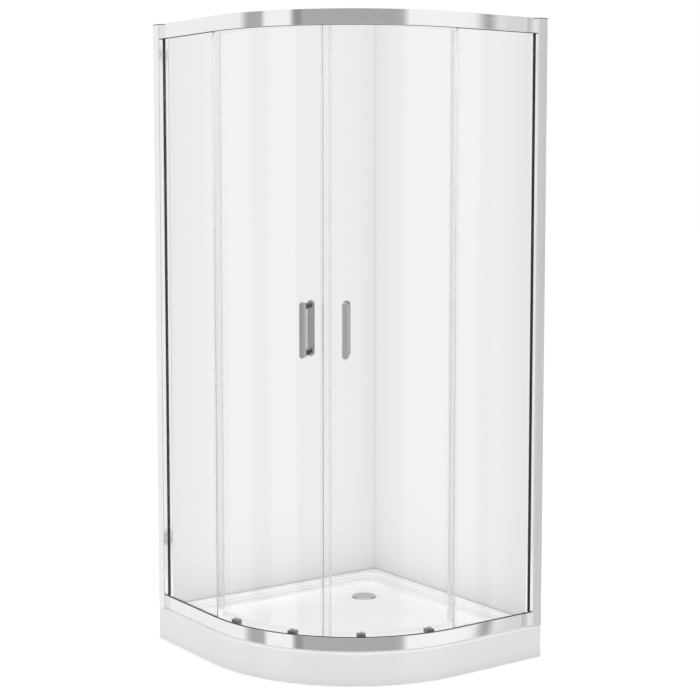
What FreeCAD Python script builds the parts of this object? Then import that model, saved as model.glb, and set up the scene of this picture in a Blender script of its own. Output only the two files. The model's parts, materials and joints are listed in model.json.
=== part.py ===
import FreeCAD, Part
import math
import os

# Quadrant shower enclosure: a low tray, two fixed glass panels on the walls and two curved doors
# that slide apart from the diagonal. Millimetres, +Z up. The origin is on the floor, under the
# middle of the tray's square outline. The room's corner is at -X, +Y: the left wall is the plane
# x = -side/2 and the right wall is the plane y = +side/2. The object is the same on both sides
# of its diagonal, the plane y = -x, so left pieces are built and right ones are mirrored.
#
# Places are given along the front path of the tray:
#   s  distance from the wall along the path's straight start
#   o  offset inwards from the tray's outer face
#   a  angle in degrees from the diagonal towards the left wall, about the front's centre

# ---- driving dimensions: overall -------------------------------------------------------------
side = 900.0                 # wall to front face, along both walls
front_radius = 550.0         # quarter-round front of the tray
tray_height = 102.0
frame_height = 1925.0        # tray rim to the top of the rails
fit_gap = 0.2                # between pieces pushed together
run_gap = 0.35               # between a moving piece and what it passes
shaft_gap = 0.05             # radial, wheel on its pin
overshoot = 1.0              # how far a cutting form passes through what it cuts

# ---- tray and its support --------------------------------------------------------------------
skirt_wall = 5.0
tray_floor_z = 68.0
tray_floor_wall = 6.0
rim_wall = 5.0
rim_front = 64.0             # ledge on the front side that carries the rail
rim_back = 38.0              # ledge along the room's walls
basin_draft = 9.0            # inward slope of the basin's wall, top to floor
basin_corner_radius = 70.0
tray_edge_radius = 9.0
basin_edge_radius = 5.0
basin_foot_radius = 16.0
board_wall = 15.0
board_inset_front = 85.0
board_inset_back = 60.0
board_corner_radius = 40.0
leg_stud_radius = 5.0
leg_foot_radius = 22.0
leg_foot_height = 8.0
leg_nut_width = 17.0
leg_nut_height = 8.0
leg_bite = 9.0               # length of stud inside the board
leg_hole_spare = 1.0         # depth of the hole past the stud
leg_foot_chamfer = 2.0
leg_inset_side = 135.0
leg_inset_back = 85.0
leg_front_reach = 285.0      # front leg, from the centre of the front's arc

# ---- waste -----------------------------------------------------------------------------------
drain_from_wall = 185.0      # drain centre from both walls
cover_radius = 43.0
cover_wall = 3.0
cover_dome_radius = 2.4
cover_foot_radius = 3.0
cover_foot_height = 1.0
cover_stem_radius = 4.0
flange_radius = 45.0
flange_wall = 2.0
recess_depth = 3.0
neck_radius = 30.0
neck_wall = 3.0
neck_length = 22.0
neck_clearance = 1.0         # waste in its hole and its recess
waste_body_radius = 41.0
waste_wall = 3.0
waste_floor_z = 5.0
waste_flange_wall = 4.0
waste_seal_wall = 2.0
spigot_radius = 20.0
spigot_wall = 2.5
spigot_length = 45.0
spigot_groove = 4.0          # relief between the waste body and the spigot's full radius
spigot_groove_depth = 1.0
dip_tube_radius = 20.0
dip_tube_wall = 2.0
dip_tube_end_z = 18.0
dip_spoke_width = 4.0
dip_spoke_height = 5.0
board_hole_gap = 10.0        # board hole round the waste body
board_slot_width = 64.0      # room in the board for the pipe and its coupling
pipe_notch_width = 70.0
pipe_notch_height = 58.0

# ---- rails -----------------------------------------------------------------------------------
rail_offset = 12.0           # fascia's outer face from the tray's outer face
rail_depth = 26.0
rail_wall = 2.5
top_rail_height = 46.0
bottom_rail_height = 44.0
groove_wall = 1.5            # thin wall behind the fixed glass
bottom_groove_height = 8.0
bottom_lip_height = 6.0
bottom_lip_wall = 1.6
rail_edge_radius = 1.2

# ---- glass and gaskets -----------------------------------------------------------------------
glass_wall = 5.0
fixed_glass_offset = 20.0    # outer face of the fixed glass
fixed_glass_arc_gap = 2.0    # free edge of the fixed glass, before the arc starts
door_glass_offset = 44.5     # outer face of the door glass
door_rear_overlap = 7.0      # door glass past the start of the arc
door_glass_drop = 4.0        # door glass from the rim and from the rail's top
gasket_wall_inner = 0.9
gasket_proud = 0.8
gasket_depth = 9.0
curve_strip_wall = 2.0       # soft strip inside each rail's curve
bottom_gasket_start = 4.5    # above the rim
pocket_gasket_width = 6.0
pocket_gasket_wall = 3.2
pocket_gasket_wall_inner = 2.0

# ---- wall and side profiles ------------------------------------------------------------------
side_profile_width = 36.8
side_profile_front = 1.0     # front face from the tray's outer face
side_profile_wall = 2.0
side_profile_depth = 39.4
side_profile_start = 1.0
side_profile_edge_radius = 1.5
pocket_depth = 12.8
pocket_gap = 0.5
wall_profile_width = 28.0
wall_profile_wall = 1.6
wall_profile_base = 2.0
cap_wall = 2.5
wall_hole_radius = 2.5
wall_hole_first = 150.0      # above the rim
wall_hole_pitch = 540.0
wall_hole_count = 4

# ---- seals -----------------------------------------------------------------------------------
seal_wall = 1.2
seal_grip = 9.0              # how far a seal's legs reach onto the glass
meeting_gap = 0.4            # between the two magnet heads
magnet_head_width = 6.0
magnet_head_depth = 8.0
magnet_head_web = 2.0
rear_fin_clear = 2.0         # rear fin to the fixed glass
fixed_fin_clear = 7.0        # fixed fin to the door glass, closed
fixed_seal_grip = 10.0
fin_above_housing = 8.0
fin_rail_gap = 1.5           # fins below the top rail's strips

# ---- door path -------------------------------------------------------------------------------
# A door turns about an upright line a little behind the front's centre, so its wheels follow
# the curved rail and then the straight one.
pole_back = 45.0             # pole from the front's centre, along the door's own wall
pole_side = 164.0            # pole from the front's centre, away from the door's fixed panel
door_turn = 21.9             # degrees, closed to open

# ---- door rollers ----------------------------------------------------------------------------
front_roller_angle = 12.0
rear_roller_angle = 36.5
top_wheel_radius = 11.0
top_wheel_width = 8.0
top_wheel_offset = 29.0      # middle of the wheel's width
wheel_groove_depth = 1.0
wheel_head_room = 3.0
axle_radius = 3.0
axle_head_radius = 5.5
axle_head_height = 2.4
hub_radius = 7.5
bush_radius = 6.0
bush_flange_radius = 9.0
bush_flange_wall = 1.3
curve_gap = 0.3              # flat piece on the hollow side of the curved glass
roller_cap_radius = 14.0
roller_cap_height = 8.0
roller_cap_edge = 2.0
roller_cap_face = 2.0        # wall between the axle's end and the cap's face
bottom_wheel_radius = 9.0
bottom_wheel_width = 6.0
bottom_wheel_offset = 36.7
plunger_travel = 5.0
plunger_offset = 37.5
plunger_head_radius = 5.0
plunger_stem_radius = 3.0
plunger_head_height = 10.0
plunger_rise = 6.0           # button above its housing
plunger_edge_radius = 1.0
fork_wall = 2.8
fork_width = 11.0
fork_bridge = 3.0
fork_below_pin = 4.5
wheel_pin_radius = 2.5
wheel_pin_head_radius = 3.6
wheel_pin_head_height = 1.4
housing_offset = 31.0
housing_width = 28.0
housing_height = 16.6
housing_floor = 3.0
housing_edge_radius = 1.5
housing_pin_radius = 2.5
housing_pin_spread = 10.0
housing_pin_root = 2.0       # length of pin inside the housing
clamp_plate_wall = 3.0
spring_wire_radius = 0.5
spring_turns = 3.0
spring_end_gap = 0.1         # spring to its housing's floor
stop_length = 13.0
stop_height = 15.0
stop_width = 15.0
stop_edge_radius = 1.5

# ---- handles ---------------------------------------------------------------------------------
handle_angle = 6.85
handle_z = 1079.0
handle_length = 172.0
handle_width = 22.0
handle_depth = 12.0
handle_edge_radius = 2.5
handle_standoff = 31.0       # clear space between bar and glass
post_radius = 8.0
post_spacing = 141.0
stud_radius = 3.0
stud_bite = 8.0              # stud inside each post
washer_wall = 1.0
washer_radius = 9.0
grommet_radius = 5.0

# ---- screws ----------------------------------------------------------------------------------
screw_radius = 1.8
screw_head_radius = 3.2
screw_head_height = 2.2
rail_screw_length = 15.0
end_block_length = 22.0
end_block_width = 8.0
end_block_height = 12.0
profile_screw_length = 7.0
profile_screw_from_wall = 15.0
profile_screw_levels = (0.1, 0.5, 0.9)

# ---- derived places --------------------------------------------------------------------------
half = side / 2.0
centre_out = half - front_radius             # the arc's centre is (centre_out, -centre_out)
arc_centre = FreeCAD.Vector(centre_out, -centre_out, 0)
rim_z = tray_height
top_z = rim_z + frame_height
top_rail_z = top_z - top_rail_height
bottom_rail_z = rim_z + bottom_rail_height
rail_inner = rail_offset + rail_depth
fascia_inner = rail_offset + rail_wall
fixed_glass_inner = fixed_glass_offset + glass_wall
groove_offset = fixed_glass_inner + gasket_wall_inner
ledge_top = top_z - rail_wall - wheel_head_room - 2.0 * top_wheel_radius - run_gap
ledge_z = ledge_top - rail_wall
axle_z = ledge_top + run_gap + top_wheel_radius
door_glass_inner = door_glass_offset + glass_wall
door_glass_middle = front_radius - door_glass_offset - glass_wall / 2.0
door_glass_z = rim_z + door_glass_drop
door_glass_top = top_z - door_glass_drop
fixed_glass_end = side - front_radius - fixed_glass_arc_gap
door_rear_angle = 45.0 + math.degrees(door_rear_overlap / (front_radius - door_glass_offset))
lip_top = rim_z + bottom_lip_height
bottom_wheel_z = lip_top + run_gap + plunger_travel + bottom_wheel_radius
bridge_z = bottom_wheel_z + bottom_wheel_radius + run_gap
housing_z = bridge_z + fork_bridge + run_gap
housing_top = housing_z + housing_height
housing_bore_z = housing_z + housing_floor
button_z = housing_top + plunger_rise
plunger_head_z = button_z - plunger_head_height
drain_x = -half + drain_from_wall
drain_y = half - drain_from_wall
tray_floor_bottom = tray_floor_z - tray_floor_wall
board_z = tray_floor_bottom - board_wall
recess_z = tray_floor_z - recess_depth
flange_top = recess_z + flange_wall
waste_top = tray_floor_bottom - waste_seal_wall
spigot_z = spigot_radius + waste_floor_z
cover_z = flange_top + run_gap + cover_foot_height
side_profile_inner = side_profile_front + side_profile_depth
rail_start = side_profile_width + fit_gap
pocket_start = side_profile_width - pocket_depth
handle_reach = handle_standoff + washer_wall
magnet_face = meeting_gap / 2.0
door_front = magnet_face + magnet_head_width + magnet_head_web


# ---- geometry helpers ------------------------------------------------------------------------
def place(x, y, z=0.0):
    """A point in the part's frame."""
    return FreeCAD.Vector(x, y, z)


def degrees_along(length):
    """The angle about the front's centre that a length along the door glass spans."""
    return math.degrees(length / door_glass_middle)


def outward(a):
    """The unit vector from the front's centre at angle a from the diagonal."""
    turn = math.radians(-45.0 - a)
    return place(math.cos(turn), math.sin(turn))


def path_point(a, o, z=0.0):
    """The point at angle a and offset o on the arc, at height z."""
    return arc_centre + outward(a) * (front_radius - o) + place(0, 0, z)


def upright(wire, z0, z1):
    """The solid that a flat wire sweeps from z0 to z1; the wire lies at height 0."""
    face = Part.Face(wire)
    face.translate(place(0, 0, z0))
    return face.extrude(place(0, 0, z1 - z0))


def left_block(s0, s1, o0, o1, z0, z1):
    """A block beside the left straight side."""
    return Part.makeBox(s1 - s0, o1 - o0, z1 - z0, place(-half + s0, -half + o0, z0))


def path_band(o0, o1, s_start, z0, z1):
    """A wall that follows the whole front: straight, quarter arc, straight."""
    points = []
    for o in (o0, o1):
        points.append((
            place(-half + s_start, -half + o),
            place(centre_out, -half + o),
            path_point(0.0, o),
            place(half - o, -centre_out),
            place(half - o, half - s_start),
        ))
    outer, inner = points
    edges = [
        Part.makeLine(outer[0], outer[1]),
        Part.Arc(outer[1], outer[2], outer[3]).toShape(),
        Part.makeLine(outer[3], outer[4]),
        Part.makeLine(outer[4], inner[4]),
        Part.makeLine(inner[4], inner[3]),
        Part.Arc(inner[3], inner[2], inner[1]).toShape(),
        Part.makeLine(inner[1], inner[0]),
        Part.makeLine(inner[0], outer[0]),
    ]
    return upright(Part.Wire(edges), z0, z1)


def arc_band(o0, o1, a0, a1, z0, z1):
    """A sector of a cylinder's wall between two angles."""
    middle = (a0 + a1) / 2.0
    edges = [
        Part.Arc(path_point(a0, o0), path_point(middle, o0), path_point(a1, o0)).toShape(),
        Part.makeLine(path_point(a1, o0), path_point(a1, o1)),
        Part.Arc(path_point(a1, o1), path_point(middle, o1), path_point(a0, o1)).toShape(),
        Part.makeLine(path_point(a0, o1), path_point(a0, o0)),
    ]
    return upright(Part.Wire(edges), z0, z1)


def radial_rod(a, o0, o1, z, radius, shift=0.0):
    """A rod on a horizontal axis square to the door glass, shifted sideways from angle a."""
    turn = math.radians(-45.0 - a)
    aside = place(-math.sin(turn), math.cos(turn)) * shift
    return Part.makeCylinder(radius, o1 - o0, path_point(a, o1, z) + aside, outward(a))


def radial_block(a, o0, o1, width, z0, z1):
    """A block whose faces are square to the door glass at angle a."""
    block = Part.makeBox(o1 - o0, width, z1 - z0, place(front_radius - o1, -width / 2.0, z0))
    block.rotate(place(0, 0), place(0, 0, 1), -45.0 - a)
    block.translate(arc_centre)
    return block


def upright_rod(a, o, z0, z1, radius):
    """An upright rod at angle a and offset o."""
    return Part.makeCylinder(radius, z1 - z0, path_point(a, o, z0))


def fused(solids):
    """One solid from pieces that touch or overlap."""
    return solids[0].fuse(solids[1:]).removeSplitter()


def to_right(shape):
    """The same piece on the other side of the diagonal."""
    return shape.mirror(place(0, 0), place(1, 1))


def upright_edges(shape):
    """The straight upright edges of a shape."""
    found = []
    for edge in shape.Edges:
        box = edge.BoundBox
        if box.XLength < 0.01 and box.YLength < 0.01:
            found.append(edge)
    return found


def edges_at(shape, z):
    """The edges that lie at height z."""
    return [e for e in shape.Edges if abs(e.BoundBox.ZMin - z) < 0.01 and abs(e.BoundBox.ZMax - z) < 0.01]


def swung(point, degrees):
    """Where a point of the left door is once the door has turned open by that angle."""
    pole = arc_centre + place(-pole_back, pole_side)
    turn = FreeCAD.Rotation(place(0, 0, 1), -degrees)
    return pole + turn.multVec(point - pole)


# ---- tray ------------------------------------------------------------------------------------
def quadrant_wire(front, back, corner, z):
    """The tray's outline, drawn in by front and back offsets, its three corners rounded."""
    x0 = -half + back
    y0 = -half + front
    x1 = half - front
    y1 = half - back
    start = place(centre_out, y0, z)
    end = place(x1, -centre_out, z)
    middle = path_point(0.0, front, z)
    if corner <= 0.0:
        points = [end, place(x1, y1, z), place(x0, y1, z), place(x0, y0, z), start]
        edges = [Part.makeLine(p, q) for p, q in zip(points, points[1:])]
        return Part.Wire([Part.Arc(start, middle, end).toShape()] + edges)
    bend = corner * (1.0 - math.sqrt(0.5))
    edges = [
        Part.Arc(start, middle, end).toShape(),
        Part.makeLine(end, place(x1, y1 - corner, z)),
        Part.Arc(place(x1, y1 - corner, z), place(x1 - bend, y1 - bend, z),
                 place(x1 - corner, y1, z)).toShape(),
        Part.makeLine(place(x1 - corner, y1, z), place(x0 + corner, y1, z)),
        Part.Arc(place(x0 + corner, y1, z), place(x0 + bend, y1 - bend, z),
                 place(x0, y1 - corner, z)).toShape(),
        Part.makeLine(place(x0, y1 - corner, z), place(x0, y0 + corner, z)),
        Part.Arc(place(x0, y0 + corner, z), place(x0 + bend, y0 + bend, z),
                 place(x0 + corner, y0, z)).toShape(),
        Part.makeLine(place(x0 + corner, y0, z), start),
    ]
    return Part.Wire(edges)


def basin_form(grow, z_top, z_floor):
    """The space of the basin, with its sloped wall; grow makes it larger on every side."""
    top = quadrant_wire(rim_front - grow, rim_back - grow, basin_corner_radius, z_top)
    foot = quadrant_wire(rim_front + basin_draft - grow, rim_back + basin_draft - grow,
                         basin_corner_radius, z_floor)
    return Part.makeLoft([foot, top], True, True)


def make_tray():
    body = upright(quadrant_wire(0.0, 0.0, 0.0, 0.0), 0.0, rim_z)
    front_edges = []
    for edge in edges_at(body, rim_z):
        box = edge.BoundBox
        along_left_wall = box.XMax < -half + 0.01
        along_back_wall = box.YMin > half - 0.01
        if not along_left_wall and not along_back_wall:
            front_edges.append(edge)
    body = body.makeFillet(tray_edge_radius, front_edges)
    basin = basin_form(0.0, rim_z, tray_floor_z)
    basin = basin.makeFillet(basin_foot_radius, edges_at(basin, tray_floor_z))
    under = upright(quadrant_wire(skirt_wall, skirt_wall, 0.0, 0.0), 0.0, rim_z - rim_wall)
    under = under.cut(basin_form(rim_wall, rim_z, tray_floor_bottom))
    tray = body.cut(under).cut(basin)
    tray = tray.makeFillet(basin_edge_radius, basin_rim_edges(tray))
    recess = Part.makeCylinder(flange_radius + neck_clearance, recess_depth,
                               place(drain_x, drain_y, recess_z))
    hole = Part.makeCylinder(neck_radius + neck_clearance, tray_floor_wall + overshoot,
                             place(drain_x, drain_y, tray_floor_bottom - overshoot))
    notch = Part.makeBox(skirt_wall + 2.0 * overshoot, pipe_notch_width, pipe_notch_height,
                         place(-half - overshoot, drain_y - pipe_notch_width / 2.0, 0.0))
    return tray.cut(recess).cut(hole).cut(notch)


def basin_rim_edges(tray):
    """The edges where the basin's wall meets the rim."""
    found = []
    for edge in edges_at(tray, rim_z):
        box = edge.BoundBox
        inside_x = box.XMin > -half + skirt_wall and box.XMax < half - tray_edge_radius - skirt_wall
        inside_y = box.YMin > -half + tray_edge_radius + skirt_wall and box.YMax < half - skirt_wall
        if inside_x and inside_y:
            found.append(edge)
    return found


def leg_places():
    """Where the five legs stand."""
    front = arc_centre + outward(0.0) * leg_front_reach
    return [
        (-half + leg_inset_back, half - leg_inset_back),
        (-half + leg_inset_side, -half + leg_inset_side),
        (half - leg_inset_side, half - leg_inset_side),
        (front.x, front.y),
        (centre_out, -centre_out),
    ]


def make_base_board():
    board = upright(quadrant_wire(board_inset_front, board_inset_back, board_corner_radius, 0.0),
                    board_z, tray_floor_bottom)
    board = board.cut(Part.makeCylinder(waste_body_radius + board_hole_gap, board_wall,
                                        place(drain_x, drain_y, board_z)))
    board = board.cut(Part.makeBox(drain_x + half, board_slot_width, board_wall,
                                   place(-half, drain_y - board_slot_width / 2.0, board_z)))
    for x, y in leg_places():
        board = board.cut(Part.makeCylinder(leg_stud_radius + fit_gap, leg_bite + leg_hole_spare,
                                            place(x, y, board_z)))
    return board


def make_legs():
    legs = []
    for x, y in leg_places():
        foot = Part.makeCylinder(leg_foot_radius, leg_foot_height, place(x, y, 0.0))
        foot = foot.makeChamfer(leg_foot_chamfer, edges_at(foot, leg_foot_height))
        stud = Part.makeCylinder(leg_stud_radius, board_z + leg_bite - leg_foot_height / 2.0,
                                 place(x, y, leg_foot_height / 2.0))
        legs.append(foot.fuse(stud))
    return Part.makeCompound(legs)


def make_leg_nuts():
    nuts = []
    for x, y in leg_places():
        corners = []
        for k in range(7):
            turn = math.radians(60.0 * k)
            reach = leg_nut_width / math.sqrt(3.0)
            corners.append(place(x + reach * math.cos(turn), y + reach * math.sin(turn)))
        nut = upright(Part.makePolygon(corners), board_z - leg_nut_height, board_z)
        bore = Part.makeCylinder(leg_stud_radius + shaft_gap, leg_nut_height,
                                 place(x, y, board_z - leg_nut_height))
        nuts.append(nut.cut(bore))
    return Part.makeCompound(nuts)


# ---- waste -----------------------------------------------------------------------------------
def drain_ring(outer, inner, z0, z1):
    """A ring about the drain's axis."""
    ring = Part.makeCylinder(outer, z1 - z0, place(drain_x, drain_y, z0))
    return ring.cut(Part.makeCylinder(inner, z1 - z0, place(drain_x, drain_y, z0)))


def make_waste_flange():
    bore = neck_radius - neck_wall
    plate = drain_ring(flange_radius, bore, recess_z, flange_top)
    neck = drain_ring(neck_radius, bore, recess_z - neck_length, flange_top)
    return fused([plate, neck])


def make_waste_seal():
    return drain_ring(waste_body_radius, neck_radius + neck_clearance, waste_top, tray_floor_bottom)


def make_waste_body():
    shell = Part.makeCylinder(waste_body_radius, waste_top - waste_floor_z,
                              place(drain_x, drain_y, waste_floor_z))
    outlet_start = place(drain_x, drain_y, spigot_z)
    outlet_length = waste_body_radius + spigot_length
    outlet = Part.makeCylinder(spigot_radius - spigot_groove_depth, outlet_length, outlet_start,
                               place(-1, 0, 0))
    spigot = Part.makeCylinder(spigot_radius, spigot_length - spigot_groove,
                               place(drain_x - waste_body_radius - spigot_groove, drain_y, spigot_z),
                               place(-1, 0, 0))
    inside = Part.makeCylinder(waste_body_radius - waste_wall,
                               waste_top - waste_floor_z - waste_wall - waste_flange_wall,
                               place(drain_x, drain_y, waste_floor_z + waste_wall))
    throat = Part.makeCylinder(neck_radius + fit_gap, waste_flange_wall,
                               place(drain_x, drain_y, waste_top - waste_flange_wall))
    bore = Part.makeCylinder(spigot_radius - spigot_wall, outlet_length, outlet_start, place(-1, 0, 0))
    return fused([shell, outlet, spigot]).cut(inside).cut(throat).cut(bore)


def make_drain_cover():
    disc = Part.makeCylinder(cover_radius, cover_wall, place(drain_x, drain_y, cover_z))
    disc = disc.makeFillet(cover_dome_radius, edges_at(disc, cover_z + cover_wall))
    pieces = [disc]
    stem_z = recess_z - dip_spoke_height
    pieces.append(Part.makeCylinder(cover_stem_radius, cover_z - stem_z,
                                    place(drain_x, drain_y, stem_z)))
    for k in range(3):
        turn = math.radians(120.0 * k)
        reach = (flange_radius + neck_radius) / 2.0
        x = drain_x + reach * math.cos(turn)
        y = drain_y + reach * math.sin(turn)
        pieces.append(Part.makeCylinder(cover_foot_radius, cover_z - flange_top - run_gap,
                                        place(x, y, flange_top + run_gap)))
    return fused(pieces)


def make_dip_tube():
    tube = drain_ring(dip_tube_radius, dip_tube_radius - dip_tube_wall, dip_tube_end_z, recess_z)
    spokes = []
    for turn in (0.0, 90.0):
        spoke = Part.makeBox(2.0 * dip_tube_radius - dip_tube_wall, dip_spoke_width, dip_spoke_height,
                             place(-dip_tube_radius + dip_tube_wall / 2.0, -dip_spoke_width / 2.0))
        spoke.rotate(place(0, 0), place(0, 0, 1), turn)
        spoke.translate(place(drain_x, drain_y, recess_z - dip_spoke_height))
        spokes.append(spoke)
    hub = Part.makeCylinder(cover_stem_radius + dip_tube_wall, dip_spoke_height,
                            place(drain_x, drain_y, recess_z - dip_spoke_height))
    socket = Part.makeCylinder(cover_stem_radius + shaft_gap, dip_spoke_height,
                               place(drain_x, drain_y, recess_z - dip_spoke_height))
    return fused([tube, hub] + spokes).cut(socket)


# ---- rails -----------------------------------------------------------------------------------
def make_bottom_rail():
    fascia = path_band(rail_offset, fascia_inner, rail_start, rim_z, bottom_rail_z)
    fascia = fascia.makeFillet(rail_edge_radius, outer_top_edges(fascia, bottom_rail_z))
    web = path_band(rail_offset, rail_inner, rail_start, rim_z, rim_z + rail_wall)
    groove = path_band(groove_offset, groove_offset + groove_wall, rail_start, rim_z,
                       rim_z + bottom_groove_height)
    lip = path_band(rail_inner - bottom_lip_wall, rail_inner, rail_start, rim_z, lip_top)
    return fused([fascia, web, groove, lip])


def make_top_rail():
    fascia = path_band(rail_offset, fascia_inner, rail_start, top_rail_z, top_z)
    fascia = fascia.makeFillet(rail_edge_radius, outer_top_edges(fascia, top_rail_z))
    web = path_band(rail_offset, rail_inner, rail_start, top_z - rail_wall, top_z)
    ledge = path_band(rail_offset, rail_inner, rail_start, ledge_z, ledge_top)
    groove = path_band(groove_offset, groove_offset + groove_wall, rail_start, top_rail_z, ledge_top)
    return fused([fascia, web, ledge, groove])


def outer_top_edges(fascia, z):
    """The edges of a rail's fascia at height z that face outwards."""
    found = []
    for edge in edges_at(fascia, z):
        middle = edge.valueAt((edge.FirstParameter + edge.LastParameter) / 2.0)
        on_left = abs(middle.y + half - rail_offset) < 0.05 and middle.x < centre_out
        on_right = abs(half - rail_offset - middle.x) < 0.05 and middle.y > -centre_out
        reach = math.hypot(middle.x - arc_centre.x, middle.y - arc_centre.y)
        on_arc = abs(front_radius - rail_offset - reach) < 0.05
        if on_left or on_right or on_arc:
            found.append(edge)
    return found


def end_block_span(top):
    """The heights of a rail's end block, in the top or the bottom rail."""
    if top:
        return ledge_top, ledge_top + end_block_height
    return rim_z + rail_wall, rim_z + rail_wall + end_block_height


def end_block_offsets():
    """The offsets of a rail's end block: it stands between the groove's wall and the lip."""
    start = groove_offset + groove_wall + fit_gap / 2.0
    return start, start + end_block_width - fit_gap


def make_end_blocks():
    blocks = []
    o0, o1 = end_block_offsets()
    for top in (False, True):
        z0, z1 = end_block_span(top)
        block = left_block(rail_start, rail_start + end_block_length, o0, o1, z0, z1)
        middle = place(-half + rail_start, -half + (o0 + o1) / 2.0, (z0 + z1) / 2.0)
        block = block.cut(Part.makeCylinder(screw_radius, rail_screw_length, middle, place(1, 0, 0)))
        blocks.append(block)
        blocks.append(to_right(block))
    return Part.makeCompound(blocks)


def make_rail_stops():
    """Rubber blocks on the top ledge that end a door's travel."""
    wheel = swung(path_point(rear_roller_angle, top_wheel_offset), door_turn)
    stop_end = wheel.x + half - top_wheel_radius - run_gap
    start = fascia_inner
    stop = left_block(stop_end - stop_length, stop_end, start, start + stop_width,
                      ledge_top, ledge_top + stop_height)
    stop = stop.makeFillet(stop_edge_radius, edges_at(stop, ledge_top + stop_height))
    return Part.makeCompound([stop, to_right(stop)])


# ---- wall and side profiles ------------------------------------------------------------------
def screw_hole(s, o, z, radius, length):
    """A hole for a screw whose axis is square to the wall."""
    return Part.makeCylinder(radius, length, place(-half + s, -half + o, z), place(1, 0, 0))


def make_wall_profile():
    o0 = side_profile_front + side_profile_wall + fit_gap
    o1 = side_profile_inner - side_profile_wall - fit_gap
    top = top_z - cap_wall - run_gap
    base = left_block(0.0, wall_profile_base, o0, o1, rim_z, top)
    front = left_block(0.0, wall_profile_width, o0, o0 + wall_profile_wall, rim_z, top)
    rear = left_block(0.0, wall_profile_width, o1 - wall_profile_wall, o1, rim_z, top)
    profile = fused([base, front, rear])
    wide_gap = (pocket_glass_back() + o1 - wall_profile_wall) / 2.0
    for k in range(wall_hole_count):
        z = rim_z + wall_hole_first + k * wall_hole_pitch
        profile = profile.cut(screw_hole(-overshoot, wide_gap, z, wall_hole_radius,
                                         wall_profile_base + 2.0 * overshoot))
    return cut_profile_screws(profile)


def pocket_glass_back():
    """The offset of the inner face of the side profile's glass pocket."""
    return fixed_glass_inner + pocket_gap + side_profile_wall


def profile_screw_heights():
    """The heights of the screws between the side profile and the wall profile."""
    return [rim_z + frame_height * level for level in profile_screw_levels]


def cut_profile_screws(profile):
    """Drills a profile's inner leg for the screws between the two profiles."""
    for z in profile_screw_heights():
        hole = Part.makeCylinder(screw_radius + shaft_gap, profile_screw_length * 2.0,
                                 place(-half + profile_screw_from_wall,
                                       -half + side_profile_inner - profile_screw_length, z),
                                 place(0, 1, 0))
        profile = profile.cut(hole)
    return profile


def make_side_profile():
    top = top_z - cap_wall
    wall = side_profile_wall
    end = side_profile_width
    front = side_profile_front
    inner = side_profile_inner
    pocket_outer = fixed_glass_offset - pocket_gap - wall
    pocket_back = pocket_glass_back()
    front_leg = left_block(side_profile_start, end, front, front + wall, rim_z, top)
    outer_end = left_block(end - wall, end, front, pocket_outer + wall, rim_z, top)
    outer_lip = left_block(pocket_start - wall, end, pocket_outer, pocket_outer + wall, rim_z, top)
    pocket_base = left_block(pocket_start - wall, pocket_start, pocket_outer, pocket_back, rim_z, top)
    inner_lip = left_block(pocket_start - wall, end, pocket_back - wall, pocket_back, rim_z, top)
    inner_end = left_block(end - wall, end, pocket_back - wall, inner, rim_z, top)
    rear_leg = left_block(side_profile_start, end, inner - wall, inner, rim_z, top)
    profile = fused([front_leg, outer_end, outer_lip, pocket_base, inner_lip, inner_end, rear_leg])
    corner_edges = []
    for edge in upright_edges(profile):
        spot = edge.BoundBox.Center
        if abs(spot.x + half - end) < 0.01 and abs(spot.y + half - front) < 0.01:
            corner_edges.append(edge)
    profile = profile.makeFillet(side_profile_edge_radius, corner_edges)
    o0, o1 = end_block_offsets()
    for top_end in (False, True):
        z0, z1 = end_block_span(top_end)
        profile = profile.cut(screw_hole(end - 2.0 * wall, (o0 + o1) / 2.0, (z0 + z1) / 2.0,
                                         screw_radius + shaft_gap, 3.0 * wall))
    return cut_profile_screws(profile)


def make_profile_caps():
    cap = left_block(0.0, side_profile_width, side_profile_front, side_profile_inner,
                     top_z - cap_wall, top_z)
    return Part.makeCompound([cap, to_right(cap)])


def pan_screw(base, direction, length):
    """A screw with a round head; base is under the head, the shank runs along direction."""
    shank = Part.makeCylinder(screw_radius, length, base, direction)
    head = Part.makeCylinder(screw_head_radius, screw_head_height,
                             base - direction * screw_head_height, direction)
    return shank.fuse(head)


def make_frame_screws():
    screws = []
    o0, o1 = end_block_offsets()
    for top in (False, True):
        z0, z1 = end_block_span(top)
        base = place(-half + side_profile_width - side_profile_wall,
                     -half + (o0 + o1) / 2.0, (z0 + z1) / 2.0)
        screws.append(pan_screw(base, place(1, 0, 0), rail_screw_length))
    for z in profile_screw_heights():
        base = place(-half + profile_screw_from_wall, -half + side_profile_inner, z)
        screws.append(pan_screw(base, place(0, -1, 0), profile_screw_length))
    return Part.makeCompound(screws + [to_right(screw) for screw in screws])


# ---- fixed glass, gaskets and its seal -------------------------------------------------------
def make_fixed_glass():
    return left_block(pocket_start + pocket_gap, fixed_glass_end, fixed_glass_offset,
                      fixed_glass_inner, rim_z + bottom_gasket_start, ledge_z - pocket_gap)


def make_profile_gaskets():
    z0 = bottom_rail_z + gasket_proud
    z1 = top_rail_z - gasket_proud
    s0 = side_profile_width
    s1 = s0 + pocket_gasket_width
    outer = left_block(s0, s1, fixed_glass_offset - pocket_gasket_wall, fixed_glass_offset, z0, z1)
    inner = left_block(s0, s1, fixed_glass_inner, fixed_glass_inner + pocket_gasket_wall_inner, z0, z1)
    return Part.makeCompound([outer, inner, to_right(outer), to_right(inner)])


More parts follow.
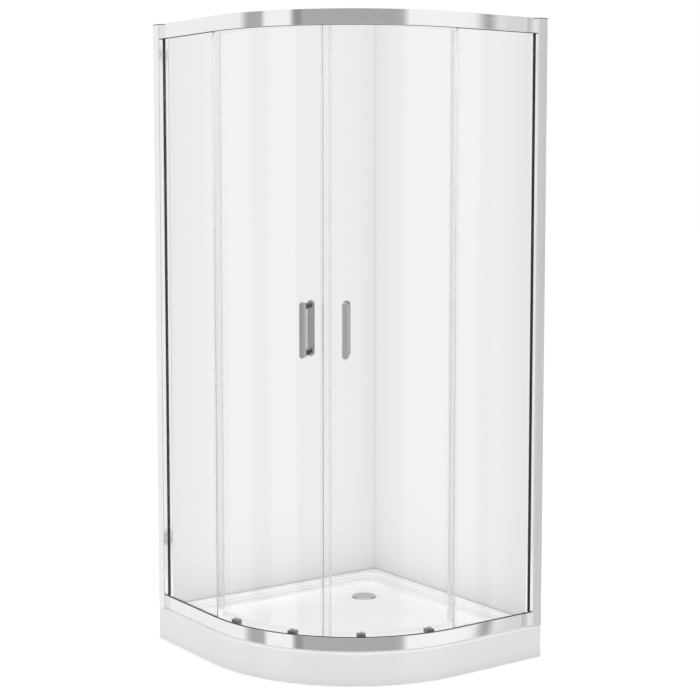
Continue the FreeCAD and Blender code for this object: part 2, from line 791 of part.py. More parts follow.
def make_rail_gaskets():
    """Strips between the rails and the fixed glass, on both of its faces, and along the curve."""
    pieces = []
    s0 = rail_start
    s1 = fixed_glass_end
    top_span = (top_rail_z - gasket_proud, top_rail_z + gasket_depth)
    bottom_span = (rim_z + bottom_gasket_start, rim_z + bottom_groove_height)
    low_outer_span = (bottom_rail_z - gasket_depth, bottom_rail_z + gasket_proud)
    outer = (fascia_inner, fixed_glass_offset)
    inner = (fixed_glass_inner, groove_offset)
    for (o0, o1), (z0, z1) in ((outer, top_span), (inner, top_span),
                               (outer, low_outer_span), (inner, bottom_span)):
        pieces.append(left_block(s0, s1, o0, o1, z0, z1))
    strips = []
    for z0, z1 in (top_span, low_outer_span):
        strips.append(arc_band(fascia_inner, fascia_inner + curve_strip_wall, -45.0, 45.0, z0, z1))
    return Part.makeCompound(pieces + [to_right(piece) for piece in pieces] + strips)


def fin_heights():
    """The heights between which the seals' fins clear the rollers and the top rail."""
    return button_z + fin_above_housing, top_rail_z - gasket_proud - fin_rail_gap


def make_fixed_seal():
    """A strip on the free edge of the fixed glass, with a fin towards the door."""
    z0 = bottom_rail_z + gasket_proud + fit_gap
    z1 = top_rail_z - gasket_proud - fit_gap
    end = fixed_glass_end
    leg = left_block(end - fixed_seal_grip, end + seal_wall, fixed_glass_offset - seal_wall,
                     fixed_glass_offset, z0, z1)
    edge = left_block(end, end + seal_wall, fixed_glass_offset - seal_wall, fixed_glass_inner, z0, z1)
    low, high = fin_heights()
    fin = left_block(end, end + seal_wall, fixed_glass_inner, door_glass_offset - fixed_fin_clear,
                     low, high)
    return fused([leg, edge, fin])


# ---- doors -----------------------------------------------------------------------------------
def roller_angles():
    return (front_roller_angle, rear_roller_angle)


def handle_post_heights():
    return (handle_z - post_spacing / 2.0, handle_z + post_spacing / 2.0)


def make_door_glass():
    glass = arc_band(door_glass_offset, door_glass_inner, degrees_along(door_front),
                     door_rear_angle, door_glass_z, door_glass_top)
    o0 = door_glass_offset - overshoot
    o1 = door_glass_inner + overshoot
    for a in roller_angles():
        glass = glass.cut(radial_rod(a, o0, o1, axle_z, bush_radius + shaft_gap))
        for shift in (-housing_pin_spread, housing_pin_spread):
            glass = glass.cut(radial_rod(a, o0, o1, housing_pin_z(), housing_pin_radius + fit_gap,
                                         shift))
    for z in handle_post_heights():
        glass = glass.cut(radial_rod(handle_angle, o0, o1, z, grommet_radius + shaft_gap))
    return glass


def glass_clip(a0, a1, z0, z1):
    """Two legs of a seal, one on each face of the door glass."""
    outer = arc_band(door_glass_offset - seal_wall, door_glass_offset, a0, a1, z0, z1)
    inner = arc_band(door_glass_inner, door_glass_inner + seal_wall, a0, a1, z0, z1)
    return [outer, inner]


def make_magnet_seal():
    """The strip on a door's leading edge: a clip on the glass and a magnet head before it."""
    a_face = degrees_along(magnet_face)
    a_head = degrees_along(magnet_face + magnet_head_width)
    a_glass = degrees_along(door_front)
    a_grip = degrees_along(door_front + seal_grip)
    o_middle = door_glass_offset + glass_wall / 2.0
    head = arc_band(o_middle - magnet_head_depth / 2.0, o_middle + magnet_head_depth / 2.0,
                    a_face, a_head, door_glass_z, door_glass_top)
    web = arc_band(door_glass_offset - seal_wall, door_glass_inner + seal_wall,
                   a_head, a_glass, door_glass_z, door_glass_top)
    return fused([head, web] + glass_clip(a_glass, a_grip, door_glass_z, door_glass_top))


def make_rear_seal():
    """The strip on a door's rear edge, with a fin towards the fixed glass."""
    a_edge = door_rear_angle
    a_back = a_edge + degrees_along(seal_wall)
    a_grip = a_edge - degrees_along(seal_grip)
    low, high = fin_heights()
    web = arc_band(door_glass_offset - seal_wall, door_glass_inner + seal_wall, a_edge, a_back,
                   low, high)
    fin = arc_band(fixed_glass_inner + rear_fin_clear, door_glass_offset - seal_wall, a_edge, a_back,
                   low, high)
    return fused([web, fin] + glass_clip(a_grip, a_edge, low, high))


def make_handle(outside):
    """A flat bar with round ends on two round posts, outside or inside the door."""
    if outside:
        post_near = door_glass_offset - washer_wall
        bar_near = door_glass_offset - handle_reach
        bar_far = bar_near - handle_depth
    else:
        post_near = door_glass_inner + washer_wall + curve_gap
        bar_near = door_glass_inner + handle_reach
        bar_far = bar_near + handle_depth
    bar_low = min(bar_near, bar_far)
    bar_high = max(bar_near, bar_far)
    round_z = handle_length / 2.0 - handle_width / 2.0
    bar = radial_block(handle_angle, bar_low, bar_high, handle_width,
                       handle_z - round_z, handle_z + round_z)
    ends = []
    for z in (handle_z - round_z, handle_z + round_z):
        ends.append(radial_rod(handle_angle, bar_low, bar_high, z, handle_width / 2.0))
    bar = fused([bar] + ends)
    bar = bar.makeFillet(handle_edge_radius, bar_outline_edges(bar))
    posts = []
    for z in handle_post_heights():
        posts.append(radial_rod(handle_angle, min(post_near, bar_near), max(post_near, bar_near),
                                z, post_radius))
    handle = fused([bar] + posts)
    for z in handle_post_heights():
        if outside:
            bore = radial_rod(handle_angle, post_near - stud_bite, post_near, z,
                              stud_radius + shaft_gap)
        else:
            bore = radial_rod(handle_angle, post_near, post_near + stud_bite, z,
                              stud_radius + shaft_gap)
        handle = handle.cut(bore)
    return handle


def bar_outline_edges(bar):
    """The edges round both broad faces of a handle's bar."""
    found = []
    facing = outward(handle_angle)
    for edge in bar.Edges:
        start = edge.Vertexes[0].Point
        end = edge.Vertexes[-1].Point
        if abs((end - start).dot(facing)) < 0.01:
            found.append(edge)
    return found


def make_handle_fixings():
    """Studs through the glass, their nylon grommets and the washers under the posts."""
    pieces = []
    o_out = door_glass_offset - washer_wall
    o_in = door_glass_inner + washer_wall + curve_gap
    for z in handle_post_heights():
        pieces.append(radial_rod(handle_angle, o_out - stud_bite + fit_gap,
                                 o_in + stud_bite - fit_gap, z, stud_radius))
        grommet = radial_rod(handle_angle, o_out, door_glass_inner, z, grommet_radius)
        rim = radial_rod(handle_angle, o_out, door_glass_offset, z, washer_radius)
        bore = radial_rod(handle_angle, o_out - overshoot, o_in + overshoot, z, stud_radius + shaft_gap)
        pieces.append(grommet.fuse(rim).cut(bore))
        washer = radial_rod(handle_angle, door_glass_inner + curve_gap, o_in, z, washer_radius)
        pieces.append(washer.cut(bore))
    return Part.makeCompound(pieces)


# ---- top rollers -----------------------------------------------------------------------------
def top_wheel_faces():
    return top_wheel_offset - top_wheel_width / 2.0, top_wheel_offset + top_wheel_width / 2.0


def axle_end():
    """The offset at which an axle ends, inside its round cap."""
    return door_glass_inner + roller_cap_height - roller_cap_face


def make_top_axles():
    """Bolts that carry the wheels: a head, the wheel's journal, a collar and a threaded end."""
    axles = []
    o_head, o_hub = top_wheel_faces()
    o_head = o_head - run_gap
    o_hub = o_hub + run_gap
    for a in roller_angles():
        head = radial_rod(a, o_head - axle_head_height, o_head, axle_z, axle_head_radius)
        shaft = radial_rod(a, o_head, axle_end(), axle_z, axle_radius)
        hub = radial_rod(a, o_hub, door_glass_offset - bush_flange_wall, axle_z, hub_radius)
        axles.append(fused([head, shaft, hub]))
    return Part.makeCompound(axles)


def make_top_bushes():
    bushes = []
    for a in roller_angles():
        sleeve = radial_rod(a, door_glass_offset - bush_flange_wall, door_glass_inner, axle_z,
                            bush_radius)
        rim = radial_rod(a, door_glass_offset - bush_flange_wall, door_glass_offset, axle_z,
                         bush_flange_radius)
        bore = radial_rod(a, door_glass_offset - bush_flange_wall - overshoot,
                          door_glass_inner + overshoot, axle_z, axle_radius + shaft_gap)
        bushes.append(sleeve.fuse(rim).cut(bore))
    return Part.makeCompound(bushes)


def make_top_wheel(a):
    """A wheel with a shallow groove round its tread."""
    o0, o1 = top_wheel_faces()
    wheel = radial_rod(a, o0, o1, axle_z, top_wheel_radius)
    quarter = top_wheel_width / 4.0
    groove = radial_rod(a, o0 + quarter, o1 - quarter, axle_z, top_wheel_radius + overshoot)
    groove = groove.cut(radial_rod(a, o0, o1, axle_z, top_wheel_radius - wheel_groove_depth))
    bore = radial_rod(a, o0 - overshoot, o1 + overshoot, axle_z, axle_radius + shaft_gap)
    return wheel.cut(groove).cut(bore)


def make_roller_caps():
    """The pieces that show inside the door: round caps above, clamp plates below."""
    caps = []
    o_face = door_glass_inner + curve_gap
    for a in roller_angles():
        cap = radial_rod(a, o_face, o_face + roller_cap_height, axle_z - cap_drop(), roller_cap_radius)
        outer_edges = []
        for edge in cap.Edges:
            middle = edge.valueAt((edge.FirstParameter + edge.LastParameter) / 2.0)
            reach = (middle - arc_centre).dot(outward(a))
            if edge.Closed and reach < front_radius - o_face - roller_cap_height / 2.0:
                outer_edges.append(edge)
        cap = cap.makeFillet(roller_cap_edge, outer_edges)
        bore = radial_rod(a, o_face - overshoot, axle_end() + fit_gap, axle_z,
                          axle_radius + shaft_gap)
        caps.append(cap.cut(bore))
        plate = radial_block(a, o_face, o_face + clamp_plate_wall, housing_width,
                             housing_z, housing_top)
        for shift in (-housing_pin_spread, housing_pin_spread):
            plate = plate.cut(radial_rod(a, o_face - overshoot, o_face + clamp_plate_wall / 2.0,
                                         housing_pin_z(), housing_pin_radius + shaft_gap, shift))
        caps.append(plate)
    return Part.makeCompound(caps)


def cap_drop():
    """How far a round cap's middle lies below its axle, to stay below the glass's top edge."""
    return max(0.0, axle_z + roller_cap_radius - door_glass_top)


# ---- bottom rollers --------------------------------------------------------------------------
def housing_pin_z():
    return (housing_z + housing_top) / 2.0


def make_bottom_housings():
    """Blocks on the outer face of the door glass that hold the sprung plungers."""
    housings = []
    for a in roller_angles():
        block = radial_block(a, housing_offset, door_glass_offset, housing_width, housing_z,
                             housing_top)
        block = block.makeFillet(housing_edge_radius, edges_at(block, housing_top))
        pocket = upright_rod(a, plunger_offset, housing_bore_z, housing_top + overshoot,
                             plunger_head_radius + run_gap)
        hole = upright_rod(a, plunger_offset, housing_z - overshoot, housing_top,
                           plunger_stem_radius + run_gap)
        block = block.cut(pocket).cut(hole)
        pins = []
        for shift in (-housing_pin_spread, housing_pin_spread):
            pins.append(radial_rod(a, door_glass_offset - housing_pin_root,
                                   door_glass_inner + curve_gap + clamp_plate_wall / 2.0 - fit_gap,
                                   housing_pin_z(), housing_pin_radius, shift))
        housings.append(fused([block] + pins))
    return Part.makeCompound(housings)


def make_plunger(a):
    """A push button whose stem ends in a one-sided fork with the bottom wheel's pin."""
    o_wheel_out = bottom_wheel_offset - bottom_wheel_width / 2.0
    o_wheel_in = bottom_wheel_offset + bottom_wheel_width / 2.0
    o_fork = o_wheel_in + run_gap
    head = upright_rod(a, plunger_offset, plunger_head_z, button_z, plunger_head_radius)
    head = head.makeFillet(plunger_edge_radius, edges_at(head, button_z))
    stem = upright_rod(a, plunger_offset, bridge_z, plunger_head_z, plunger_stem_radius)
    bridge = radial_block(a, o_wheel_out, o_fork + fork_wall, fork_width, bridge_z,
                          bridge_z + fork_bridge)
    cheek = radial_block(a, o_fork, o_fork + fork_wall, fork_width,
                         bottom_wheel_z - fork_below_pin, bridge_z + fork_bridge)
    pin = radial_rod(a, o_wheel_out - run_gap, o_fork + fork_wall / 2.0, bottom_wheel_z,
                     wheel_pin_radius)
    pin_head = radial_rod(a, o_wheel_out - run_gap - wheel_pin_head_height, o_wheel_out - run_gap,
                          bottom_wheel_z, wheel_pin_head_radius)
    return fused([head, stem, bridge, cheek, pin, pin_head])


def make_bottom_wheel(a):
    o0 = bottom_wheel_offset - bottom_wheel_width / 2.0
    o1 = bottom_wheel_offset + bottom_wheel_width / 2.0
    wheel = radial_rod(a, o0, o1, bottom_wheel_z, bottom_wheel_radius)
    bore = radial_rod(a, o0 - overshoot, o1 + overshoot, bottom_wheel_z,
                      wheel_pin_radius + shaft_gap)
    return wheel.cut(bore)


def coil_wire(radius, pitch, turns):
    """A coil about the upright axis, from arcs of a quarter turn each."""
    points = []
    for k in range(int(8 * turns) + 1):
        turn = math.radians(45.0 * k)
        points.append(place(radius * math.cos(turn), radius * math.sin(turn), pitch * k / 8.0))
    arcs = []
    for k in range(0, len(points) - 2, 2):
        arcs.append(Part.Arc(points[k], points[k + 1], points[k + 2]).toShape())
    return Part.Wire(arcs)


def make_plunger_springs(hand):
    """Coil springs under the buttons, round the stems. hand is 1 on the left door, -1 on the right."""
    springs = []
    coil_radius = (plunger_stem_radius + plunger_head_radius + run_gap) / 2.0
    z0 = housing_bore_z + spring_wire_radius + spring_end_gap
    pitch = (plunger_head_z - run_gap - spring_wire_radius - z0) / spring_turns
    for a in roller_angles():
        path = coil_wire(coil_radius, pitch, spring_turns)
        first = path.Edges[0]
        section = Part.Wire([Part.makeCircle(spring_wire_radius, first.valueAt(first.FirstParameter),
                                             first.tangentAt(first.FirstParameter))])
        spring = path.makePipeShell([section], True, False)
        spring.translate(path_point(hand * a, plunger_offset, z0))
        springs.append(spring)
    return Part.makeCompound(springs)


# ---- assembly --------------------------------------------------------------------------------
def save(name, shape):
    """Writes one sub-part to its own file."""
    solids = shape.Solids
    assert solids, name
    for solid in solids:
        assert solid.isValid() and solid.Volume > 0.0, name
    kept = solids[0] if len(solids) == 1 else Part.makeCompound(solids)
    kept.exportStep("parts/" + name + ".step")


def save_pair(name, shape):
    """Writes a left piece and its mirrored right one."""
    save("left_" + name, shape)
    save("right_" + name, to_right(shape))


def main():
    os.makedirs("parts", exist_ok=True)
    save("tray", make_tray())
    save("tray_base_board", make_base_board())
    save("tray_legs", make_legs())
    save("tray_leg_nuts", make_leg_nuts())
    save("waste_flange", make_waste_flange())
    save("waste_seal", make_waste_seal())
    save("waste_body", make_waste_body())
    save("drain_cover", make_drain_cover())
    save("drain_dip_tube", make_dip_tube())
    save("bottom_rail", make_bottom_rail())
    save("top_rail", make_top_rail())
    save("rail_end_blocks", make_end_blocks())
    save("rail_stops", make_rail_stops())
    save("rail_gaskets", make_rail_gaskets())
    save("profile_gaskets", make_profile_gaskets())
    save("profile_caps", make_profile_caps())
    save("frame_screws", make_frame_screws())
    save_pair("wall_profile", make_wall_profile())
    save_pair("side_profile", make_side_profile())
    save_pair("fixed_glass", make_fixed_glass())
    save_pair("fixed_seal", make_fixed_seal())
    save_pair("door_glass", make_door_glass())
    save_pair("magnet_seal", make_magnet_seal())
    save_pair("rear_seal", make_rear_seal())
    save_pair("outer_handle", make_handle(True))
    save_pair("inner_handle", make_handle(False))
    save_pair("handle_fixings", make_handle_fixings())
    save_pair("top_axles", make_top_axles())
    save_pair("top_bushes", make_top_bushes())
    save_pair("roller_caps", make_roller_caps())
    save_pair("bottom_housings", make_bottom_housings())
    save("left_plunger_springs", make_plunger_springs(1.0))
    save("right_plunger_springs", make_plunger_springs(-1.0))
    for place_name, a in (("front", front_roller_angle), ("rear", rear_roller_angle)):
        save_pair(place_name + "_top_wheel", make_top_wheel(a))
        save_pair(place_name + "_plunger", make_plunger(a))
        save_pair(place_name + "_bottom_wheel", make_bottom_wheel(a))


main()
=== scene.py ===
# %% [markdown]
# # A quadrant shower enclosure
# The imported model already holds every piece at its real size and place: a low quarter-round tray,
# bright rails, two fixed panes, two curved sliding doors and their rollers. This script dresses
# that model. It loads it as a fixed frame, gives every piece a finish, and builds smoother
# surfaces for the pieces whose curves show. All lengths are metres and +Z is up.

# %% Load the frame
import json
import math

import bmesh
import bpy
import numpy as np
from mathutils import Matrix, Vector


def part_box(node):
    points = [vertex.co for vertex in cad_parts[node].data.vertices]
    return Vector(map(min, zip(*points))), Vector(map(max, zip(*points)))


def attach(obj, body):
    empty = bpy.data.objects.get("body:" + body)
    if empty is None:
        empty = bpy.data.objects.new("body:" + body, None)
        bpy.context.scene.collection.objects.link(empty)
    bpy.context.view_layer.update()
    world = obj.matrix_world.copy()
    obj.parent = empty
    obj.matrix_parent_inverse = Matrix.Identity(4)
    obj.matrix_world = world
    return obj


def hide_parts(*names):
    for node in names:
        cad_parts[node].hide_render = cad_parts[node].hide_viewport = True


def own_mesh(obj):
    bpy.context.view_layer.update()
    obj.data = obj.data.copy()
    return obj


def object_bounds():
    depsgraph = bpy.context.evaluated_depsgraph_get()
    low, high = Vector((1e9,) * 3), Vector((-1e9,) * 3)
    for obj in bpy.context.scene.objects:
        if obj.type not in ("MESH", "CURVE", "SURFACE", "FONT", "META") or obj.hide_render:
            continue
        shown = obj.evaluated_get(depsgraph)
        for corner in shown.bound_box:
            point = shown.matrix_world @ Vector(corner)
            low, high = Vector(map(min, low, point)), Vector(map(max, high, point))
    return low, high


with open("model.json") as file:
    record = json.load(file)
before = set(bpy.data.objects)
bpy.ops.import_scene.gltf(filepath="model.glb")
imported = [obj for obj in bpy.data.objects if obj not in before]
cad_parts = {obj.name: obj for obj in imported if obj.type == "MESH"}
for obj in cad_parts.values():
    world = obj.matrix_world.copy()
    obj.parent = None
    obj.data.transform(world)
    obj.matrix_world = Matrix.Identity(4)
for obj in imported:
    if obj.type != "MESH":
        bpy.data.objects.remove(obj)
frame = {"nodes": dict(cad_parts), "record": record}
cad_low, cad_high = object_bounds()
slot_of = {part["node"]: part["material_slot"] for part in frame["record"]["subparts"]}
print("nodes", len(frame["nodes"]), "box", [round(v, 4) for v in (*cad_low, *cad_high)])

# %% [markdown]
# ## The plan that every piece follows
# Seen from above, the front of the tray is a straight line, a quarter of a circle and another
# straight line. Nearly every piece is laid out along that path, so its few sizes come first.
# They are read from the frame's boxes where a box gives them. An offset is a distance inwards
# from the tray's outer face.

# %% Plan sizes
MM = 0.001
half_side = cad_high.x
front_radius = 550 * MM
arc_x = half_side - front_radius
arc_y = -arc_x
rim_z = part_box("tray")[1].z
top_z = cad_high.z
drain_low, drain_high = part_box("drain_cover")
drain_x = (drain_low.x + drain_high.x) / 2
drain_y = (drain_low.y + drain_high.y) / 2
print("rim", round(rim_z, 4), "top", round(top_z, 4), "drain", round(drain_x, 4), round(drain_y, 4))

# %% [markdown]
# ## The camera
# The photograph was taken from the right of the doors, at about the height of a person's eyes.
# A camera that looks a little down and is shifted a little keeps the uprights nearly parallel.
# Its place was found by matching the rails' ends, the tray's outline and the doors' edges.

# %% Camera
PHOTO_WIDTH = 700
FOCAL_PIXELS = 1570.5
AXIS_PIXEL_X = 346.2
AXIS_PIXEL_Y = 315.0
camera_azimuth = math.radians(54.58)
camera_distance = 5.047
camera_height = 1.534
camera_pitch = math.radians(5.0)
SENSOR = 36.0


def make_camera():
    """Puts the camera on its azimuth circle, turned to the middle and pitched down."""
    data = bpy.data.cameras.new("photo_camera")
    data.sensor_width = SENSOR
    data.lens = FOCAL_PIXELS / PHOTO_WIDTH * SENSOR
    data.shift_x = (PHOTO_WIDTH / 2 - AXIS_PIXEL_X) / PHOTO_WIDTH
    data.shift_y = (AXIS_PIXEL_Y - PHOTO_WIDTH / 2) / PHOTO_WIDTH
    camera = bpy.data.objects.new("photo_camera", data)
    camera.location = (camera_distance * math.sin(camera_azimuth),
                       -camera_distance * math.cos(camera_azimuth), camera_height)
    camera.rotation_euler = (math.pi / 2 - camera_pitch, 0, camera_azimuth)
    bpy.context.scene.collection.objects.link(camera)
    bpy.context.scene.camera = camera
    return camera


camera = make_camera()
bpy.context.scene.view_settings.view_transform = "Standard"
print("camera", [round(v, 3) for v in camera.location])

# %% [markdown]
# ## Small helpers for node trees
# Every finish below is a tree of nodes. A few helpers keep those trees short to write: they add a
# node, join two sockets, mix two shaders and give a noise pattern in the piece's own coordinates.

# %% Node helpers


def add_node(tree, kind, values=None, **settings):
    """A new node of a kind, with its settings and with numbers on its sockets."""
    made = tree.nodes.new(kind)
    for name, value in settings.items():
        setattr(made, name, value)
    for socket, value in (values or {}).items():
        made.inputs[socket].default_value = value
    return made


def join(tree, source, target):
    """Joins an output socket to an input socket."""
    tree.links.new(source, target)


def math_node(tree, operation, first, second=None, third=None):
    """A Math node; each value is a number or a socket."""
    made = add_node(tree, "ShaderNodeMath", operation=operation)
    for index, value in enumerate((first, second, third)):
        if value is None:
            continue
        if isinstance(value, bpy.types.NodeSocket):
            join(tree, value, made.inputs[index])
        else:
            made.inputs[index].default_value = value
    return made.outputs[0]


def noise(tree, scale, detail=4.0, stretch=(1, 1, 1)):
    """Noise from 0 to 1 in object coordinates, stretched along the axes where stretch is small."""
    place = add_node(tree, "ShaderNodeTexCoord")
    turn = add_node(tree, "ShaderNodeMapping", {"Scale": stretch})
    made = add_node(tree, "ShaderNodeTexNoise", {"Scale": scale, "Detail": detail})
    join(tree, place.outputs["Object"], turn.inputs["Vector"])
    join(tree, turn.outputs["Vector"], made.inputs["Vector"])
    return made.outputs["Fac"]


def mix_shaders(tree, factor, first, second):
    """The first shader where the factor is 0 and the second where it is 1."""
    mix = add_node(tree, "ShaderNodeMixShader")
    if isinstance(factor, bpy.types.NodeSocket):
        join(tree, factor, mix.inputs["Fac"])
    else:
        mix.inputs["Fac"].default_value = factor
    join(tree, first, mix.inputs[1])
    join(tree, second, mix.inputs[2])
    return mix.outputs["Shader"]


def show_mix(tree, factor, first, second):
    """The material shows a mix of two shaders."""
    mixed = mix_shaders(tree, factor, first, second)
    join(tree, mixed, tree.nodes["Material Output"].inputs["Surface"])


def see_through(tree, tint=1.0):
    """A shader that lets rays go straight on."""
    return add_node(tree, "ShaderNodeBsdfTransparent", {"Color": (tint, tint, tint, 1)}).outputs["BSDF"]


# %% [markdown]
# ## A finish is one shader with a little life in it
# Real surfaces are never one flat number. Each finish starts as a Principled shader with the
# plain values on its own sockets. Then noise at the scale of the real marks varies the colour a
# little, the roughness a little, and bends the surface by a fraction of a millimetre.

# %% Finish helpers
NOISE_SPREAD = (0.3, 0.7)


def new_finish(name, colour, roughness, metallic=0.0, **sockets):
    """A material with one Principled shader. Returns the material, its tree and the shader."""
    material = bpy.data.materials.new(name)
    material.use_nodes = True
    tree = material.node_tree
    shader = tree.nodes["Principled BSDF"]
    shader.inputs["Base Color"].default_value = (*colour, 1)
    shader.inputs["Roughness"].default_value = roughness
    shader.inputs["Metallic"].default_value = metallic
    for socket, value in sockets.items():
        shader.inputs[socket.replace("_", " ")].default_value = value
    return material, tree, shader


def vary_colour(tree, shader, pattern, dark, light):
    """The base colour runs from dark to light with the pattern."""
    ramp = add_node(tree, "ShaderNodeValToRGB")
    for stop, position, colour in zip(ramp.color_ramp.elements, NOISE_SPREAD, (dark, light)):
        stop.position = position
        stop.color = (*colour, 1)
    join(tree, pattern, ramp.inputs["Fac"])
    join(tree, ramp.outputs["Color"], shader.inputs["Base Color"])


def vary_roughness(tree, shader, pattern, low, high):
    """The roughness runs from low to high with the pattern."""
    spread = add_node(tree, "ShaderNodeMapRange", {"From Min": NOISE_SPREAD[0], "From Max": NOISE_SPREAD[1],
                                                   "To Min": low, "To Max": high})
    join(tree, pattern, spread.inputs["Value"])
    join(tree, spread.outputs["Result"], shader.inputs["Roughness"])


def raise_surface(tree, shader, pattern, height, strength=1.0):
    """The pattern bends the surface by up to height."""
    bump = add_node(tree, "ShaderNodeBump", {"Distance": height, "Strength": strength})
    join(tree, pattern, bump.inputs["Height"])
    join(tree, bump.outputs["Normal"], shader.inputs["Normal"])


# %% [markdown]
# ## The finishes of this enclosure
# The tray is white gloss acrylic, very slightly wavy from its mould. The rails and the wall
# profiles are bright-dipped aluminium, drawn lengthwise, and the handles are polished chrome.
# The panes are clear glass and the strips on their edges are soft clear plastic.

# %% Finishes: white acrylic


def make_tray_white():
    """Gloss acrylic: almost white, with the faint wave that a formed sheet keeps."""
    material, tree, shader = new_finish("tray_white", (0.84, 0.84, 0.84), 0.22,
                                        Coat_Weight=0.35, Coat_Roughness=0.06)
    vary_colour(tree, shader, noise(tree, 3.0, 2.0), (0.83, 0.83, 0.828), (0.85, 0.85, 0.85))
    vary_roughness(tree, shader, noise(tree, 45.0), 0.18, 0.27)
    raise_surface(tree, shader, noise(tree, 9.0, 1.0), 0.0004, 0.25)
    return material


# %% [markdown]
# Metal has no colour of its own beyond its reflections, so all the metals come from one function
# and differ in how bright they are, how rough, and in which way their fine lines run.

# %% Finishes: metals


def make_metal(name, colour, low, high, stretch, scale):
    """Polished metal whose roughness and surface follow the direction it was drawn in."""
    material, tree, shader = new_finish(name, colour, low, metallic=1.0)
    darker = tuple(0.96 * value for value in colour)
    vary_colour(tree, shader, noise(tree, 2.0, 3.0), darker, colour)
    vary_roughness(tree, shader, noise(tree, scale, 6.0, stretch), low, high)
    raise_surface(tree, shader, noise(tree, scale, 2.0, stretch), 0.00002, 0.15)
    return material


# %% [markdown]
# Glass could be a plain transmission shader, but then the pane would throw a dark shadow. Here the
# lens sees real glass, and light on its way to a surface goes straight through. The ground edge is
# a second finish, almost opaque, because light that got in there would be lost inside the pane.

# %% Finishes: glass
CLEAR_TINT = 0.985
EDGE_FROST = 0.96


def make_glass():
    """Clear glass: it bends and reflects what the eye sees, and lets the lamps' light through."""
    material, tree, shader = new_finish("glass_clear", (CLEAR_TINT,) * 3, 0.0, Transmission_Weight=1.0,
                                        IOR=1.45, Specular_IOR_Level=0.2)
    path = add_node(tree, "ShaderNodeLightPath")
    light = math_node(tree, "MAXIMUM", path.outputs["Is Shadow Ray"], path.outputs["Is Diffuse Ray"])
    show_mix(tree, light, shader.outputs["BSDF"], see_through(tree, CLEAR_TINT))
    return material


def make_glass_edge():
    """The ground edge of a pane: pale and frosted, so hardly any light is caught in the glass."""
    material, tree, shader = new_finish("glass_edge", (0.85, 0.86, 0.86), 0.3)
    raise_surface(tree, shader, noise(tree, 400.0, 2.0), 0.00002, 0.4)
    show_mix(tree, EDGE_FROST, see_through(tree, CLEAR_TINT), shader.outputs["BSDF"])
    return material


# %% [markdown]
# The seals are soft clear plastic. Full refraction on such thin strips turns them black, so they
# mix a see-through shader with a pale one, and look cloudier where they are seen on the slant.

# %% Finishes: clear seals
SEAL_BODY = 0.05
SEAL_EDGE = 0.28


def make_seal_clear():
    """Soft clear plastic: most light passes, and the edges that are seen on the slant look frosted."""
    material, tree, shader = new_finish("seal_clear", (0.87, 0.87, 0.87), 0.25)
    raise_surface(tree, shader, noise(tree, 60.0, 2.0, (1, 1, 0.05)), 0.0001, 0.3)
    slant = add_node(tree, "ShaderNodeLayerWeight", {"Blend": 0.25})
    cloud = math_node(tree, "MULTIPLY_ADD", slant.outputs["Facing"], SEAL_EDGE, SEAL_BODY)
    show_mix(tree, cloud, see_through(tree, CLEAR_TINT), shader.outputs["BSDF"])
    return material


# %% [markdown]
# Rubber, nylon and hard plastic come out of a mould with a fine even grain, so they share one
# function as well. The base board is chips of wood pressed together, in several sizes of noise.

# %% Finishes: rubber and moulded plastics


def make_moulded(name, colour, low, high, grain_height):
    """Moulded plastic or rubber with a fine even grain."""
    material, tree, shader = new_finish(name, colour, low)
    darker = tuple(0.85 * value for value in colour)
    vary_colour(tree, shader, noise(tree, 30.0, 3.0), darker, colour)
    vary_roughness(tree, shader, noise(tree, 120.0, 2.0), low, high)
    raise_surface(tree, shader, noise(tree, 900.0, 2.0), grain_height, 0.5)
    return material


def make_board():
    """Pressed wood board: pale chips of several sizes in a brown ground."""
    material, tree, shader = new_finish("board", (0.52, 0.36, 0.2), 0.8)
    chips = noise(tree, 70.0, 6.0, (1, 0.35, 1))
    vary_colour(tree, shader, chips, (0.3, 0.19, 0.1), (0.62, 0.46, 0.28))
    raise_surface(tree, shader, chips, 0.0005, 0.6)
    return material


# %% [markdown]
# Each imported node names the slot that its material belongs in. A dictionary from slots to finishes
# dresses all of them in one loop, and the few nodes that differ are listed after it.

# %% All finishes by slot
BRIGHT = (0.9, 0.9, 0.905)
finishes = {
    "tray_white": make_tray_white(),
    "chrome": make_metal("chrome", (0.81, 0.81, 0.815), 0.03, 0.07, (1, 1, 1), 40.0),
    "rail_bright": make_metal("rail_bright", BRIGHT, 0.02, 0.045, (0.04, 0.04, 1), 90.0),
    "stainless": make_metal("stainless", (0.6, 0.6, 0.59), 0.18, 0.3, (1, 1, 0.1), 150.0),
    "zinc_steel": make_metal("zinc_steel", (0.55, 0.56, 0.57), 0.35, 0.55, (1, 1, 1), 80.0),
    "glass_clear": make_glass(),
    "seal_clear": make_seal_clear(),
    "gasket_dark": make_moulded("gasket_dark", (0.03, 0.03, 0.032), 0.5, 0.7, 0.00004),
    "rubber_black": make_moulded("rubber_black", (0.02, 0.02, 0.02), 0.6, 0.8, 0.00004),
    "dark_plastic": make_moulded("dark_plastic", (0.035, 0.035, 0.037), 0.08, 0.18, 0.00001),
    "nylon": make_moulded("nylon", (0.72, 0.72, 0.7), 0.4, 0.55, 0.00002),
    "waste_plastic": make_moulded("waste_plastic", (0.7, 0.7, 0.69), 0.3, 0.45, 0.00002),
    "board": make_board(),
}
profile_satin = make_metal("profile_satin", BRIGHT, 0.06, 0.12, (1, 1, 0.03), 120.0)
# A lighter copy of chrome for the drain cover: a painted highlight.
painted_highlight_chrome = make_metal("painted_highlight_chrome", (0.97, 0.97, 0.975), 0.06, 0.12, (1, 1, 1), 60.0)
# A darker copy of chrome for the inner bars, which are the same chrome as the outer ones: painted shade.
painted_shade_chrome = make_metal("painted_shade_chrome", (0.6, 0.6, 0.605), 0.05, 0.1, (1, 1, 1), 60.0)
housing_grey = make_moulded("housing_grey", (0.24, 0.24, 0.245), 0.08, 0.16, 0.00001)
